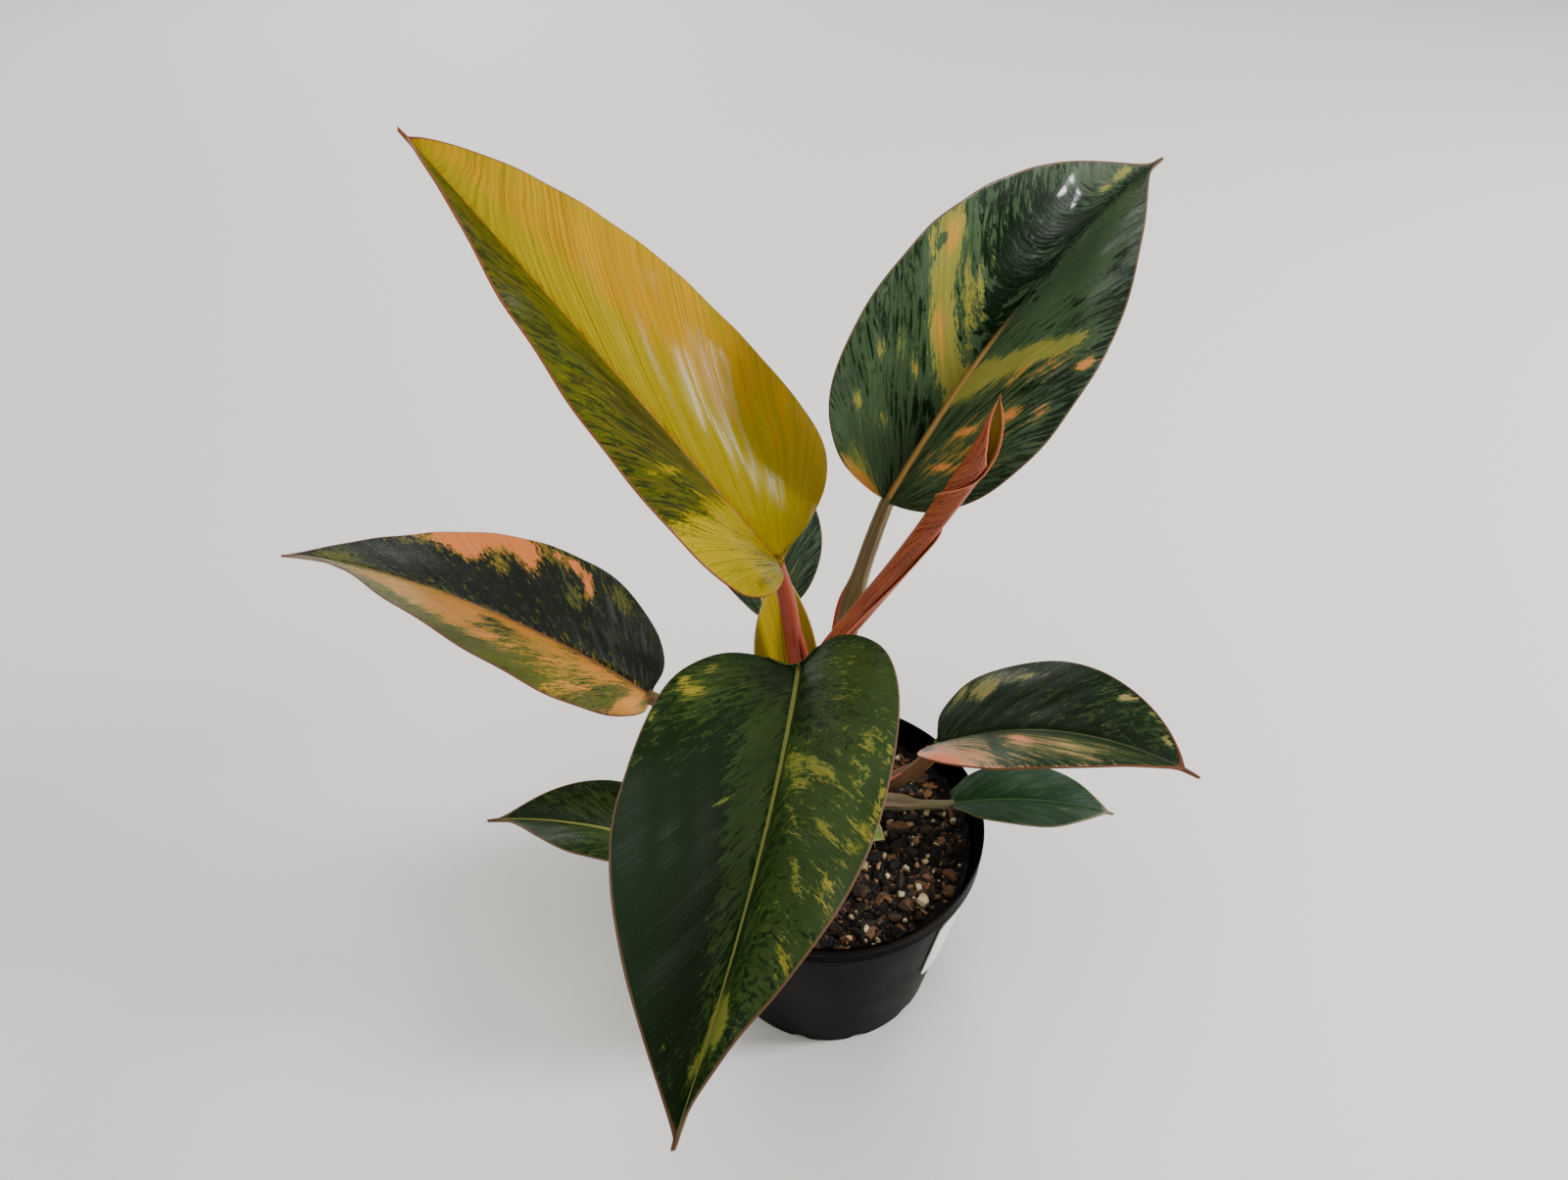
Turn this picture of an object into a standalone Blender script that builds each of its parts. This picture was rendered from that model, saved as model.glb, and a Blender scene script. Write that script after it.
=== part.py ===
# A philodendron in its nursery pot, in metres, +Z up.
# The origin is the middle of the pot's base on the table, and -Y faces the viewer.
from math import cos, pi, radians, sin

import bmesh
import bpy
import numpy as np

GAP = 0.0003  # clearance between pieces that touch

RIM_RADIUS = 0.052  # a 4 inch nursery pot is about 104 mm across its rim
POT_HEIGHT = 0.0783
BASE_RADIUS = 0.039
BAND_HEIGHT = 0.008
SHOULDER_RADIUS = 0.0505
WALL = 0.0012
FLOOR = 0.0016
POT_STEPS = 42
NOTCHES = 12
NOTCH_RADIUS = 0.0022

SOIL_TOP = 0.068
SOIL_RELIEF = 0.0016
SOIL_RINGS = 10
HOLE_RADIUS = 0.0062
HOLE_BOTTOM = 0.057

LABEL_BOTTOM, LABEL_TOP = 0.030, 0.066
LABEL_START, LABEL_END = -46, 5  # degrees round the pot from +X
LABEL_THICKNESS = 0.0006

STEM_RADIUS = 0.0055
STEM_PATH = [(0, 0, 0.0573), (0, 0, 0.072), (-0.001, 0.004, 0.095), (-0.0035, 0.0105, 0.128)]

RIB = 0.0024  # blade thickness at the midrib
BLADE_THIN = 0.42  # share of it at the margin
SINUS = 0.0034  # half width of the notch where the petiole joins
BLADE_GRID = (20, 8)  # rows along the midrib, columns across
SMALL_GRID = (12, 6)
SMALL_LEAF = 0.07  # leaves under this length take the smaller grid
TUBE_RINGS, TUBE_SIDES = 15, 12
STRAIGHT_END = 0.0018
NECK_DROP = 0.4  # how far a petiole's end sits below the blade's upper face, in its radius

# Each leaf: base is where the petiole meets the blade. heading, rise and roll turn the
# blade, and fold, curl, droop, sway and twist bend it, all in degrees. half is the half
# width of the left and right sides, and lobe, widest, taper and full shape the margin.
LEAVES = {
    "upper_left": dict(
        base=(-0.0162, 0.0241, 0.1686), heading=157.4, rise=47.2, roll=-6.0, length=0.1572,
        half=(0.0436, 0.0439), fold=(36.1, 31.9), twist=-2.0, curl=(-44.5, -19.2),
        droop=6.5, sway=-6.9, lobe=0.001, widest=0.218, taper=0.81, full=0.68,
        tail=0.03, tail_width=0.21, color=(0.42, 0.36, 0.05),
        stalk=[(-0.0105, 0.0193, 0.134), (-0.012, 0.0224, 0.143), (-0.0136, 0.0243, 0.154)],
        attach=0.1195, azimuth=132, stalk_radius=0.0028, wing=(0.45, 1.25),
    ),
    "upper_right": dict(
        base=(0.0178, 0.0422, 0.1771), heading=46.7, rise=25.1, roll=-18.0, length=0.1626,
        half=(0.0458, 0.0449), fold=(47.6, 50.4), twist=0, curl=(12.0, -25.3),
        droop=42.8, sway=-7.6, lobe=-0.004, widest=0.279, taper=1.47, full=0.82,
        tail=0.04, tail_width=0.23, color=(0.03, 0.10, 0.05),
        stalk=[(0.004, 0.025, 0.119), (0.0066, 0.0345, 0.137), (0.0108, 0.0393, 0.152),
               (0.0148, 0.0409, 0.167)],
        attach=0.112, azimuth=40, stalk_radius=0.0026, wing=(0.6, 1.55),
    ),
    "front": dict(
        base=(-0.0103, -0.0047, 0.1515), heading=255.3, rise=-17.1, roll=-21.2, length=0.1318,
        half=(0.0409, 0.0396), fold=(50.0, 38.8), twist=18.3, curl=(-62.5, 0),
        droop=16.4, sway=-21.7, lobe=0.023, widest=0.399, taper=1.13, full=0.64,
        tail=0.03, tail_width=0.20, color=(0.03, 0.09, 0.04),
        stalk=[(-0.002, -0.0075, 0.103), (-0.005, -0.0065, 0.122), (-0.0092, -0.0035, 0.141)],
        attach=0.090, azimuth=-80, stalk_radius=0.0026, wing=(0.5, 1.3), neck_drop=0.9,
    ),
    "left": dict(
        base=(-0.0583, 0.0176, 0.1185), heading=159.4, rise=8.5, roll=-14.2, length=0.1451,
        half=(0.0371, 0.0376), fold=(28.9, 16.2), twist=17.2, curl=(-20.1, 1.5),
        droop=43.9, sway=-19.9, lobe=0.012, widest=0.294, taper=1.51, full=0.92,
        tail=0.01, tail_width=0.21, color=(0.30, 0.22, 0.10),
        stalk=[(-0.014, 0.0085, 0.099), (-0.028, 0.0115, 0.104), (-0.044, 0.0146, 0.1105)],
        attach=0.094, azimuth=165, stalk_radius=0.0026, wing=(0.5, 1.3),
    ),
    "right": dict(
        base=(0.0355, 0.0066, 0.1045), heading=-34.0, rise=24.2, roll=8.2, length=0.0884,
        half=(0.0262, 0.0267), fold=(29.3, 22.6), twist=-14.2, curl=(-10.0, -38.1),
        droop=42.4, sway=-18.5, lobe=0.011, widest=0.359, taper=0.93, full=0.82,
        tail=0.09, tail_width=0.20, color=(0.10, 0.12, 0.05),
        stalk=[(0.013, 0.0095, 0.0765), (0.021, 0.0098, 0.082), (0.0295, 0.0085, 0.0915)],
        attach=0.0755, azimuth=40, stalk_radius=0.0026, wing=(0.62, 1.5),
    ),
    "right_small": dict(
        base=(0.0406, -0.0015, 0.0854), heading=-0.8, rise=-5.6, roll=6.4, length=0.0556,
        half=(0.0140, 0.0148), fold=(24.2, 24.1), twist=0, curl=(-21.5, -27.8),
        droop=28.3, sway=-3.6, lobe=-0.046, widest=0.493, taper=1.07, full=0.97,
        tail=0.07, tail_width=0.20, color=(0.04, 0.13, 0.05),
        stalk=[(0.0120, -0.0005, 0.0838), (0.0200, 0, 0.084), (0.0300, -0.0012, 0.0842)],
        attach=0.0828, azimuth=-12, stalk_radius=0.0016, wing=(0.62, 1.9),
    ),
    "left_small": dict(
        base=(-0.0510, -0.0196, 0.0874), heading=167.4, rise=-2.7, roll=-8.3, length=0.0642,
        half=(0.0163, 0.0173), fold=(27.9, 29.8), twist=8.6, curl=(-27.3, -17.3),
        droop=23.9, sway=6.2, lobe=-0.001, widest=0.387, taper=1.41, full=0.85,
        tail=0.09, tail_width=0.21, color=(0.03, 0.10, 0.05),
        stalk=[(-0.013, -0.004, 0.080), (-0.026, -0.0105, 0.082), (-0.039, -0.0165, 0.0845)],
        attach=0.079, azimuth=200, stalk_radius=0.0018, wing=(0.5, 1.5),
    ),
    "back": dict(
        base=(-0.0205, 0.0489, 0.1234), heading=100.5, rise=7.0, roll=-10.5, length=0.0958,
        half=(0.0249, 0.0251), fold=(33.3, 33.1), twist=-8.2, curl=(-13.8, -15.9),
        droop=22.9, sway=2.3, lobe=-0.009, widest=0.373, taper=1.30, full=0.95,
        tail=0.10, tail_width=0.20, color=(0.03, 0.10, 0.05),
        stalk=[(-0.0075, 0.016, 0.0985), (-0.0125, 0.0265, 0.1045), (-0.0175, 0.0385, 0.113)],
        attach=0.0955, azimuth=115, stalk_radius=0.0021, wing=(0.5, 1.3),
    ),
}

# The bract and the sprout have no petiole: their narrow base starts at the stem.
BRACTS = {
    "cataphyll": dict(
        attach=0.1032, azimuth=142, stand_off=0.0010, heading=105.0, rise=59.0, roll=0, length=0.0605,
        half=(0.0125, 0.0125), fold=(20, 20), twist=0, curl=(30, 30), droop=-20, sway=-30,
        lobe=-0.04, widest=0.50, taper=0.9, full=0.8, tail=0.04, tail_width=0.1,
        color=(0.33, 0.33, 0.05),
    ),
    "sprout_leaf": dict(
        attach=0.0772, azimuth=-29, stand_off=0, heading=-25.0, rise=-10.0, roll=0, length=0.0155,
        half=(0.0055, 0.0055), fold=(25, 25), twist=0, curl=(-15, -15), droop=15, sway=0,
        lobe=-0.04, widest=0.50, taper=1.1, full=0.9, tail=0.05, tail_width=0.1,
        color=(0.20, 0.33, 0.08),
    ),
}
BRACT_SINUS = 0.0011
BRACT_RIB = 0.0014
BRACT_THIN = 0.6

ROLL_PATH = [
    (-0.0015, 0.0163, 0.137), (0.0095, 0.0165, 0.1555), (0.0201, 0.0152, 0.1745),
    (0.0298, 0.0136, 0.194), (0.0385, 0.0122, 0.2135), (0.0409, 0.0126, 0.221),
    (0.0426, 0.0152, 0.231),
]
ROLL_RADIUS = 0.0034
ROLL_RINGS, ROLL_SIDES = 26, 20


def material(name, color, roughness, metallic=0.0):
    found = bpy.data.materials.new(name)
    found.use_nodes = True
    shader = found.node_tree.nodes["Principled BSDF"]
    shader.inputs["Base Color"].default_value = (*color, 1)
    shader.inputs["Roughness"].default_value = roughness
    shader.inputs["Metallic"].default_value = metallic
    return found


def add_object(name, mesh_data, finish, where):
    obj = bpy.data.objects.new(name, mesh_data)
    where.objects.link(obj)
    mesh_data.materials.append(finish)
    return obj


def mesh_from(name, bm):
    """Closes a bmesh off as a mesh of that name, with smooth faces and sharp edges."""
    mesh_data = bpy.data.meshes.new(name)
    bm.to_mesh(mesh_data)
    bm.free()
    mesh_data.shade_smooth()
    mesh_data.set_sharp_from_angle(angle=radians(40))
    return mesh_data


def turned(name, profile, steps):
    """A closed profile of (radius, height) points, carried once round the Z axis."""
    bm = bmesh.new()
    points = [bm.verts.new((radius, 0, height)) for radius, height in profile]
    edges = [bm.edges.new(pair) for pair in zip(points, points[1:])]
    if profile[0][0] > 0:
        edges.append(bm.edges.new((points[-1], points[0])))
    bmesh.ops.spin(
        bm, geom=points + edges, axis=(0, 0, 1), cent=(0, 0, 0), angle=2 * pi, steps=steps,
        use_merge=True,
    )
    bmesh.ops.remove_doubles(bm, verts=bm.verts, dist=1e-6)
    bmesh.ops.recalc_face_normals(bm, faces=bm.faces)
    return bm


def unit(vectors):
    return vectors / np.linalg.norm(vectors, axis=-1, keepdims=True)


def smooth_path(points, count):
    """A Catmull-Rom curve through the points, at even steps along its length."""
    points = np.array(points, float)
    ends = np.vstack([2 * points[0] - points[1], points, 2 * points[-1] - points[-2]])
    t = np.linspace(0, 1, 24, endpoint=False)[:, None]
    pieces = []
    for a, b, c, d in zip(ends, ends[1:], ends[2:], ends[3:]):
        pieces.append(
            0.5 * (2 * b + (c - a) * t + (2 * a - 5 * b + 4 * c - d) * t**2
                   + (3 * b - a - 3 * c + d) * t**3)
        )
    curve = np.vstack(pieces + [points[-1:]])
    steps = np.linalg.norm(np.diff(curve, axis=0), axis=1)
    along = np.concatenate([[0], np.cumsum(steps)])
    even = np.linspace(0, along[-1], count)
    return np.stack([np.interp(even, along, curve[:, axis]) for axis in range(3)], axis=-1)


def between(start, leaving, points, end, arriving, count):
    """A smooth path that starts and ends straight, so that its end faces are square to
    those two directions."""
    bends = [start + leaving * STRAIGHT_END, *points, end - arriving * STRAIGHT_END]
    return np.vstack([start, smooth_path(bends, count - 2), end])


def tube(name, path, section, sides, up):
    """A closed loft: at each point of the path, section(share, angle) gives the outline's
    distance to the side and towards up."""
    path = np.asarray(path)
    along = unit(np.gradient(path, axis=0))
    side = unit(np.cross(along, np.array(up, float)))
    top = np.cross(side, along)
    share = np.linspace(0, 1, len(path))[:, None]
    angle = np.linspace(0, 2 * pi, sides, endpoint=False)[None, :]
    across, high = section(share, angle)
    rings = path[:, None] + across[..., None] * side[:, None] + high[..., None] * top[:, None]
    bm = bmesh.new()
    corners = [[bm.verts.new(point) for point in ring] for ring in rings]
    for ring, following in zip(corners, corners[1:]):
        for i in range(sides):
            j = (i + 1) % sides
            bm.faces.new((ring[i], ring[j], following[j], following[i]))
    bm.faces.new(corners[0])
    bm.faces.new(corners[-1])
    bmesh.ops.recalc_face_normals(bm, faces=bm.faces)
    bmesh.ops.triangulate(bm, faces=bm.faces)
    return mesh_from(name, bm)


def margin(q, leaf, notch):
    """The flat margin, from the notch at q = 0 to the tip at q = 1: a rounded base, then
    a taper that narrows as (1 - t)^taper (1 + taper t) and ends in a slim drip tip."""
    turn = 0.45
    a = np.clip(q / turn, 0, 1) * pi / 2
    base_y = notch + (1 - notch) * np.sin(a) ** leaf["full"]
    base_x = leaf["widest"] - (leaf["widest"] + leaf["lobe"]) * np.cos(a) ** leaf["full"]
    base_x = base_x + leaf["lobe"] * np.exp(-(((base_y - notch) / 0.16) ** 2))
    t = np.clip((q - turn) / (1 - turn), 0, 1)
    body = np.clip(1 - t / (1 - leaf["tail"]), 0, 1)
    body = body ** leaf["taper"] * (1 + leaf["taper"] * (1 - body))
    tip_y = np.hypot(body, leaf["tail_width"] * (1 - t) * np.sqrt(t))
    tip_x = leaf["widest"] + (1 - leaf["widest"]) * t
    return np.where(q < turn, base_x, tip_x), np.where(q < turn, base_y, tip_y)


def directions(leaf):
    """Unit vectors along the midrib, out of the upper face and to the left."""
    h, e, r = radians(leaf["heading"]), radians(leaf["rise"]), radians(leaf["roll"])
    along = np.array([cos(h) * cos(e), sin(h) * cos(e), sin(e)])
    up = unit(np.array([0, 0, 1.0]) - along * along[2])
    up = up * cos(r) + np.cross(up, along) * sin(r)
    return along, up, np.cross(up, along)


def midrib(leaf, u):
    """The midrib's points, tangents and upward directions at shares u of its length."""
    along, up, left = directions(leaf)
    droop, sway = radians(leaf["droop"]), radians(leaf["sway"])

    def frame(u):
        a = (droop * (np.clip(u, 0, 1) - 0.5))[:, None]
        b = (sway * (np.clip(u, 0, 1) - 0.5))[:, None]
        ahead = unit(np.cos(a) * np.cos(b) * along - np.sin(a) * up + np.sin(b) * np.cos(a) * left)
        above = np.cos(a) * up + np.sin(a) * along
        return ahead, unit(above - ahead * (above * ahead).sum(axis=1, keepdims=True))

    knots = np.linspace(-0.3, 1, 200)
    ahead, _ = frame(knots)
    steps = (ahead[1:] + ahead[:-1]) / 2 * (knots[1] - knots[0]) * leaf["length"]
    line = np.vstack([np.zeros(3), np.cumsum(steps, axis=0)])
    start = [np.interp(0, knots, line[:, axis]) for axis in range(3)]
    line = line - start + np.array(leaf["base"])
    points = np.stack([np.interp(u, knots, line[:, axis]) for axis in range(3)], axis=-1)
    ahead, above = frame(u)
    return points, ahead, above


def bend(leaf, x, y):
    """Carries flat points onto the bent leaf: x runs along the midrib, and each side is
    folded up by its angle and curls at an even rate over its half width."""
    u = x / leaf["length"]
    middle, ahead, above = midrib(leaf, u)
    left = np.cross(above, ahead)
    half = np.where(y >= 0, leaf["half"][0], leaf["half"][1])
    fold = np.radians(np.where(y >= 0, leaf["fold"][0], leaf["fold"][1]))
    fold = fold + radians(leaf["twist"]) * (np.clip(u, 0, 1) - 0.5)
    rate = np.radians(np.where(y >= 0, leaf["curl"][0], leaf["curl"][1])) / half
    rate = np.where(np.abs(rate) < 1e-3, 1e-3, rate)
    out = np.abs(y)
    across = (np.sin(fold + rate * out) - np.sin(fold)) / rate * np.sign(y)
    high = (np.cos(fold) - np.cos(fold + rate * out)) / rate
    return middle + across[:, None] * left + high[:, None] * above


def blade(name, leaf, finish, where, sinus, rib, thin):
    rows, columns = SMALL_GRID if leaf["length"] < SMALL_LEAF else BLADE_GRID
    bm = bmesh.new()
    bmesh.ops.create_grid(bm, x_segments=rows, y_segments=columns, size=0.5)
    grid = np.array([vert.co for vert in bm.verts])
    q, v = grid[:, 0] + 0.5, grid[:, 1] * 2
    half = np.where(v >= 0, leaf["half"][0], leaf["half"][1])
    edge_x, edge_y = margin(q, leaf, sinus / half)
    mid_x = q**1.3
    x = (mid_x + (edge_x - mid_x) * np.abs(v)) * leaf["length"]
    for vert, place in zip(bm.verts, bend(leaf, x, edge_y * half * v)):
        vert.co = place
    bm.verts.ensure_lookup_table()
    weights = bm.verts.layers.deform.verify()
    for vert, height, side in zip(bm.verts, q, v):
        vert[weights][0] = (1 - 0.8 * height) * max(0, 1 - 3 * abs(side))
    bmesh.ops.remove_doubles(bm, verts=bm.verts, dist=1e-5)
    obj = add_object(name, mesh_from(name, bm), finish, where)
    obj.vertex_groups.new(name="rib")
    split = obj.modifiers.new("Triangulate", "TRIANGULATE")
    split.quad_method = "FIXED"
    solid = obj.modifiers.new("Solidify", "SOLIDIFY")
    solid.thickness = rib
    solid.offset = -1
    solid.vertex_group = "rib"
    solid.thickness_vertex_group = thin
    return obj


def stem_at(height):
    path = smooth_path(STEM_PATH, 60)
    return np.array([np.interp(height, path[:, 2], path[:, axis]) for axis in range(3)])


def stem_radius(share):
    """The stem tapers upwards, with a slight knuckle at each of its five nodes."""
    return STEM_RADIUS * (1 + 0.04 * np.cos(share * 2 * pi * 5)) * (0.96 - 0.12 * share)


def seat(height, azimuth):
    """The place 0.3 mm off the stem's side at that height, and the direction out of it."""
    lean = unit(stem_at(height + 0.002) - stem_at(height - 0.002))
    out = np.array([cos(radians(azimuth)), sin(radians(azimuth)), 0])
    out = unit(out - lean * (out @ lean))
    low, high = STEM_PATH[0][2], STEM_PATH[-1][2]
    radius = stem_radius((height - low) / (high - low))
    return stem_at(height) + out * (radius + GAP + 0.0003), out


def petiole(name, leaf, finish, where):
    """A stalk from the stem's side to the blade: a winged, grooved sheath below and a
    plain rounded section above."""
    foot, out = seat(leaf["attach"], leaf["azimuth"])
    _, ahead, above = (part[0] for part in midrib(leaf, np.zeros(1)))
    radius = leaf["stalk_radius"]
    drop = radius * leaf.get("neck_drop", NECK_DROP)
    neck = np.array(leaf["base"]) - ahead * (GAP + 0.0002) - above * drop
    path = between(foot, out, leaf["stalk"], neck, ahead, TUBE_RINGS)
    sheath_end, wing = leaf["wing"]

    def section(share, angle):
        sheath = 1 / (1 + np.exp((share - sheath_end) * 30))
        sheath = sheath * np.clip(share / 0.15, 0, 1)
        neck_in = 1 - 0.12 * np.clip((share - 0.8) / 0.2, 0, 1)
        side = radius * neck_in * (1 + (wing - 1) * sheath)
        groove = 0.35 * sheath * np.exp(-(((angle - pi / 2) / 0.6) ** 2))
        return side * np.cos(angle), radius * neck_in * (np.sin(angle) - groove)

    return add_object(name, tube(name, path, section, TUBE_SIDES, above), finish, where)


def new_leaf_roll(finish, where):
    """The rolled leaf: a tapered rod with a seam step where its margin overlaps, open
    as a trough on its right side below the tip."""
    name = "new_leaf_roll"
    top = smooth_path(STEM_PATH, 60)
    ahead = unit(top[-1] - top[-2])
    foot = top[-1] + ahead * (GAP + 0.0001)
    tip = np.array(ROLL_PATH[-1])
    rising = unit(tip - np.array(ROLL_PATH[-2]))
    path = between(foot, ahead, ROLL_PATH[:-1], tip, rising, ROLL_RINGS)

    def section(share, angle):
        taper = 0.86 + 0.3 * share - 0.12 * share**2
        taper = taper * np.clip((1.01 - share) / 0.16, 0, 1) ** 0.85
        seam = (angle / (2 * pi) + 0.35 + 0.6 * share) % 1
        trough = np.clip((share - 0.78) / 0.08, 0, 1) * np.exp(-(((angle - 2.3) / 0.7) ** 2))
        radius = ROLL_RADIUS * taper * (0.93 + 0.14 * seam) * (1 - 0.5 * trough)
        return radius * np.cos(angle), radius * np.sin(angle)

    return add_object(name, tube(name, path, section, ROLL_SIDES, (0, -1, 0.3)), finish, where)


def main_stem(finish, where):
    path = smooth_path(STEM_PATH, 12)

    def section(share, angle):
        return stem_radius(share) * np.cos(angle), stem_radius(share) * np.sin(angle)

    return add_object("main_stem", tube("main_stem", path, section, 16, (0, -1, 0)), finish, where)


def pot(finish, where, cutters):
    band_bottom = POT_HEIGHT - BAND_HEIGHT
    profile = [
        (0, FLOOR), (BASE_RADIUS - WALL, FLOOR),
        (SHOULDER_RADIUS - WALL, band_bottom), (RIM_RADIUS - WALL - 0.0002, band_bottom + 0.0012),
        (RIM_RADIUS - WALL, POT_HEIGHT - 0.0003), (RIM_RADIUS - 0.0006, POT_HEIGHT),
        (RIM_RADIUS, POT_HEIGHT - 0.0006), (RIM_RADIUS, band_bottom),
        (SHOULDER_RADIUS, band_bottom), (BASE_RADIUS, 0.0008), (BASE_RADIUS - 0.0008, 0), (0, 0),
    ]
    obj = add_object("pot", mesh_from("pot", turned("pot", profile, POT_STEPS)), finish, where)
    bm = bmesh.new()
    for i in range(NOTCHES):
        turn = 2 * pi * (i + 0.5) / NOTCHES
        made = bmesh.ops.create_cone(
            bm, cap_ends=True, segments=8, radius1=NOTCH_RADIUS, radius2=NOTCH_RADIUS, depth=0.006
        )
        out = np.array([cos(turn), sin(turn), 0])
        across = np.array([-sin(turn), cos(turn), 0])
        for vert in made["verts"]:
            x, y, z = vert.co
            vert.co = out * (BASE_RADIUS + z) + across * x + np.array([0, 0, y])
    bmesh.ops.recalc_face_normals(bm, faces=bm.faces)
    cutter = bpy.data.objects.new("drain_notches", mesh_from("drain_notches", bm))
    cutters.objects.link(cutter)
    cutter.hide_render = True
    cutter.display_type = "WIRE"
    cut = obj.modifiers.new("Drain notches", "BOOLEAN")
    cut.object = cutter
    cut.operation = "DIFFERENCE"
    return obj


def pot_label(finish, where):
    """A blank sheet bent round the pot's wall, 0.3 mm off it."""
    bm = bmesh.new()
    bmesh.ops.create_grid(bm, x_segments=12, y_segments=1, size=0.5)
    slope = (SHOULDER_RADIUS - BASE_RADIUS) / (POT_HEIGHT - BAND_HEIGHT)
    for vert in bm.verts:
        turn = radians(LABEL_START + (LABEL_END - LABEL_START) * (vert.co.x + 0.5))
        height = LABEL_BOTTOM + (LABEL_TOP - LABEL_BOTTOM) * (vert.co.y + 0.5)
        radius = BASE_RADIUS + slope * height + GAP
        vert.co = (radius * cos(turn), radius * sin(turn), height)
    obj = add_object("pot_label", mesh_from("pot_label", bm), finish, where)
    solid = obj.modifiers.new("Solidify", "SOLIDIFY")
    solid.thickness = LABEL_THICKNESS
    solid.offset = 1
    return obj


def soil(finish, where):
    """A turned plug of mix with a plain hole for the stem and a lumpy top, whose height
    is a sum of crossing waves."""
    slope = (SHOULDER_RADIUS - BASE_RADIUS) / (POT_HEIGHT - BAND_HEIGHT)
    outer = [
        BASE_RADIUS + slope * height - WALL - GAP * 2 for height in (FLOOR + GAP, SOIL_TOP - 0.002)
    ]
    rings = np.linspace(HOLE_RADIUS, outer[1], SOIL_RINGS)
    profile = [(0, HOLE_BOTTOM), (HOLE_RADIUS, HOLE_BOTTOM)]
    profile += [(radius, SOIL_TOP) for radius in rings[:-1]]
    profile += [(outer[1], SOIL_TOP - 0.002), (outer[0], FLOOR + GAP), (0, FLOOR + GAP)]
    bm = turned("soil", profile, POT_STEPS)
    for vert in bm.verts:
        x, y, z = vert.co
        if z < SOIL_TOP - 0.001:
            continue
        waves = sin(x * 390 + 1) * cos(y * 350) + 0.7 * sin(x * 800 - y * 610) * cos(y * 720 + 2)
        lift = SOIL_RELIEF * waves / 1.7
        vert.co.z += lift + 0.15 * SOIL_RELIEF * sin(x * 1900 + y * 1500)
    return add_object("soil", mesh_from("soil", bm), finish, where)


def build():
    for obj in list(bpy.data.objects):
        bpy.data.objects.remove(obj)
    plant = bpy.data.collections.new("potted_philodendron")
    cutters = bpy.data.collections.new("cutters")
    bpy.context.scene.collection.children.link(plant)
    bpy.context.scene.collection.children.link(cutters)
    pot(material("black plastic", (0.015, 0.014, 0.014), 0.45), plant, cutters)
    pot_label(material("white label", (0.85, 0.84, 0.82), 0.6), plant)
    soil(material("potting mix", (0.03, 0.02, 0.015), 0.95), plant)
    main_stem(material("stem", (0.10, 0.10, 0.04), 0.5), plant)
    stalk = material("petiole", (0.22, 0.07, 0.04), 0.4)
    for name, leaf in LEAVES.items():
        finish = material(f"blade {name}", leaf["color"], 0.35)
        blade(f"blade_{name}", leaf, finish, plant, SINUS, RIB, BLADE_THIN)
        petiole(f"petiole_{name}", leaf, stalk, plant)
    for name, leaf in BRACTS.items():
        foot, out = seat(leaf["attach"], leaf["azimuth"])
        leaf["base"] = foot + out * leaf["stand_off"]
        finish = material(name, leaf["color"], 0.45)
        blade(name, leaf, finish, plant, BRACT_SINUS, BRACT_RIB, BRACT_THIN)
    new_leaf_roll(material("rolled leaf", (0.36, 0.12, 0.08), 0.35), plant)


build()
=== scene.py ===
from itertools import product
from math import cos, pi, radians, sin

import bmesh
import bpy
import numpy as np
from mathutils import Matrix


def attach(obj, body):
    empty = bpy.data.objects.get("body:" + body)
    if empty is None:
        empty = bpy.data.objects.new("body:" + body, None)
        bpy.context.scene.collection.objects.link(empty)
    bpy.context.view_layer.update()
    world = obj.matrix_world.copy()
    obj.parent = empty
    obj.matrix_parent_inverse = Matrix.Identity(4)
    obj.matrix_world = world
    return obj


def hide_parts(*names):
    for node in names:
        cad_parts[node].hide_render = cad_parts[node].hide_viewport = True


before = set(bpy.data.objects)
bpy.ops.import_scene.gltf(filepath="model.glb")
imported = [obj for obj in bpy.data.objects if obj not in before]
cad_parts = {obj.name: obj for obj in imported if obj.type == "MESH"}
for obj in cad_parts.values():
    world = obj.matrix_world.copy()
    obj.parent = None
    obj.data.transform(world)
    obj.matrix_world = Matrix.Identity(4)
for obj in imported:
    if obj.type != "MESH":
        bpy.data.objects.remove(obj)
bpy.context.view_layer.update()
print("frame:", len(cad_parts), "nodes")

gap = 0.0003  # what neighbouring pieces keep from each other; lengths are in metres, as in the frame


# Small helpers for arrays

def unit(vectors):
    return vectors / np.maximum(np.linalg.norm(vectors, axis=-1, keepdims=True), 1e-12)


def smoothStep(values, low, high):  # 0 below low, 1 above high, with a soft S between
    share = np.clip((values - low) / (high - low), 0, 1)
    return share * share * (3 - 2 * share)


def bump(values, centre, width):  # a bell: e to the minus square of the distance over the width
    return np.exp(-(((values - centre) / width) ** 2))


def waves(places, count, pitch, seed):
    # Soft noise, mostly from -1 to 1: a sum of plane waves in random directions, about a pitch long
    draw = np.random.default_rng(seed)
    ways = unit(draw.normal(size=(count, places.shape[-1]))) * draw.uniform(0.6, 1.7, (count, 1))
    phases = draw.uniform(0, 2 * pi, count)
    return np.sin(places @ ways.T * (2 * pi / pitch) + phases).sum(axis=-1) / np.sqrt(count / 2) / 2


def readOff(at, places, line):  # the points of a line at those places, by straight steps
    return np.stack([np.interp(at, places, line[:, axis]) for axis in range(3)], axis=-1)


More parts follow.
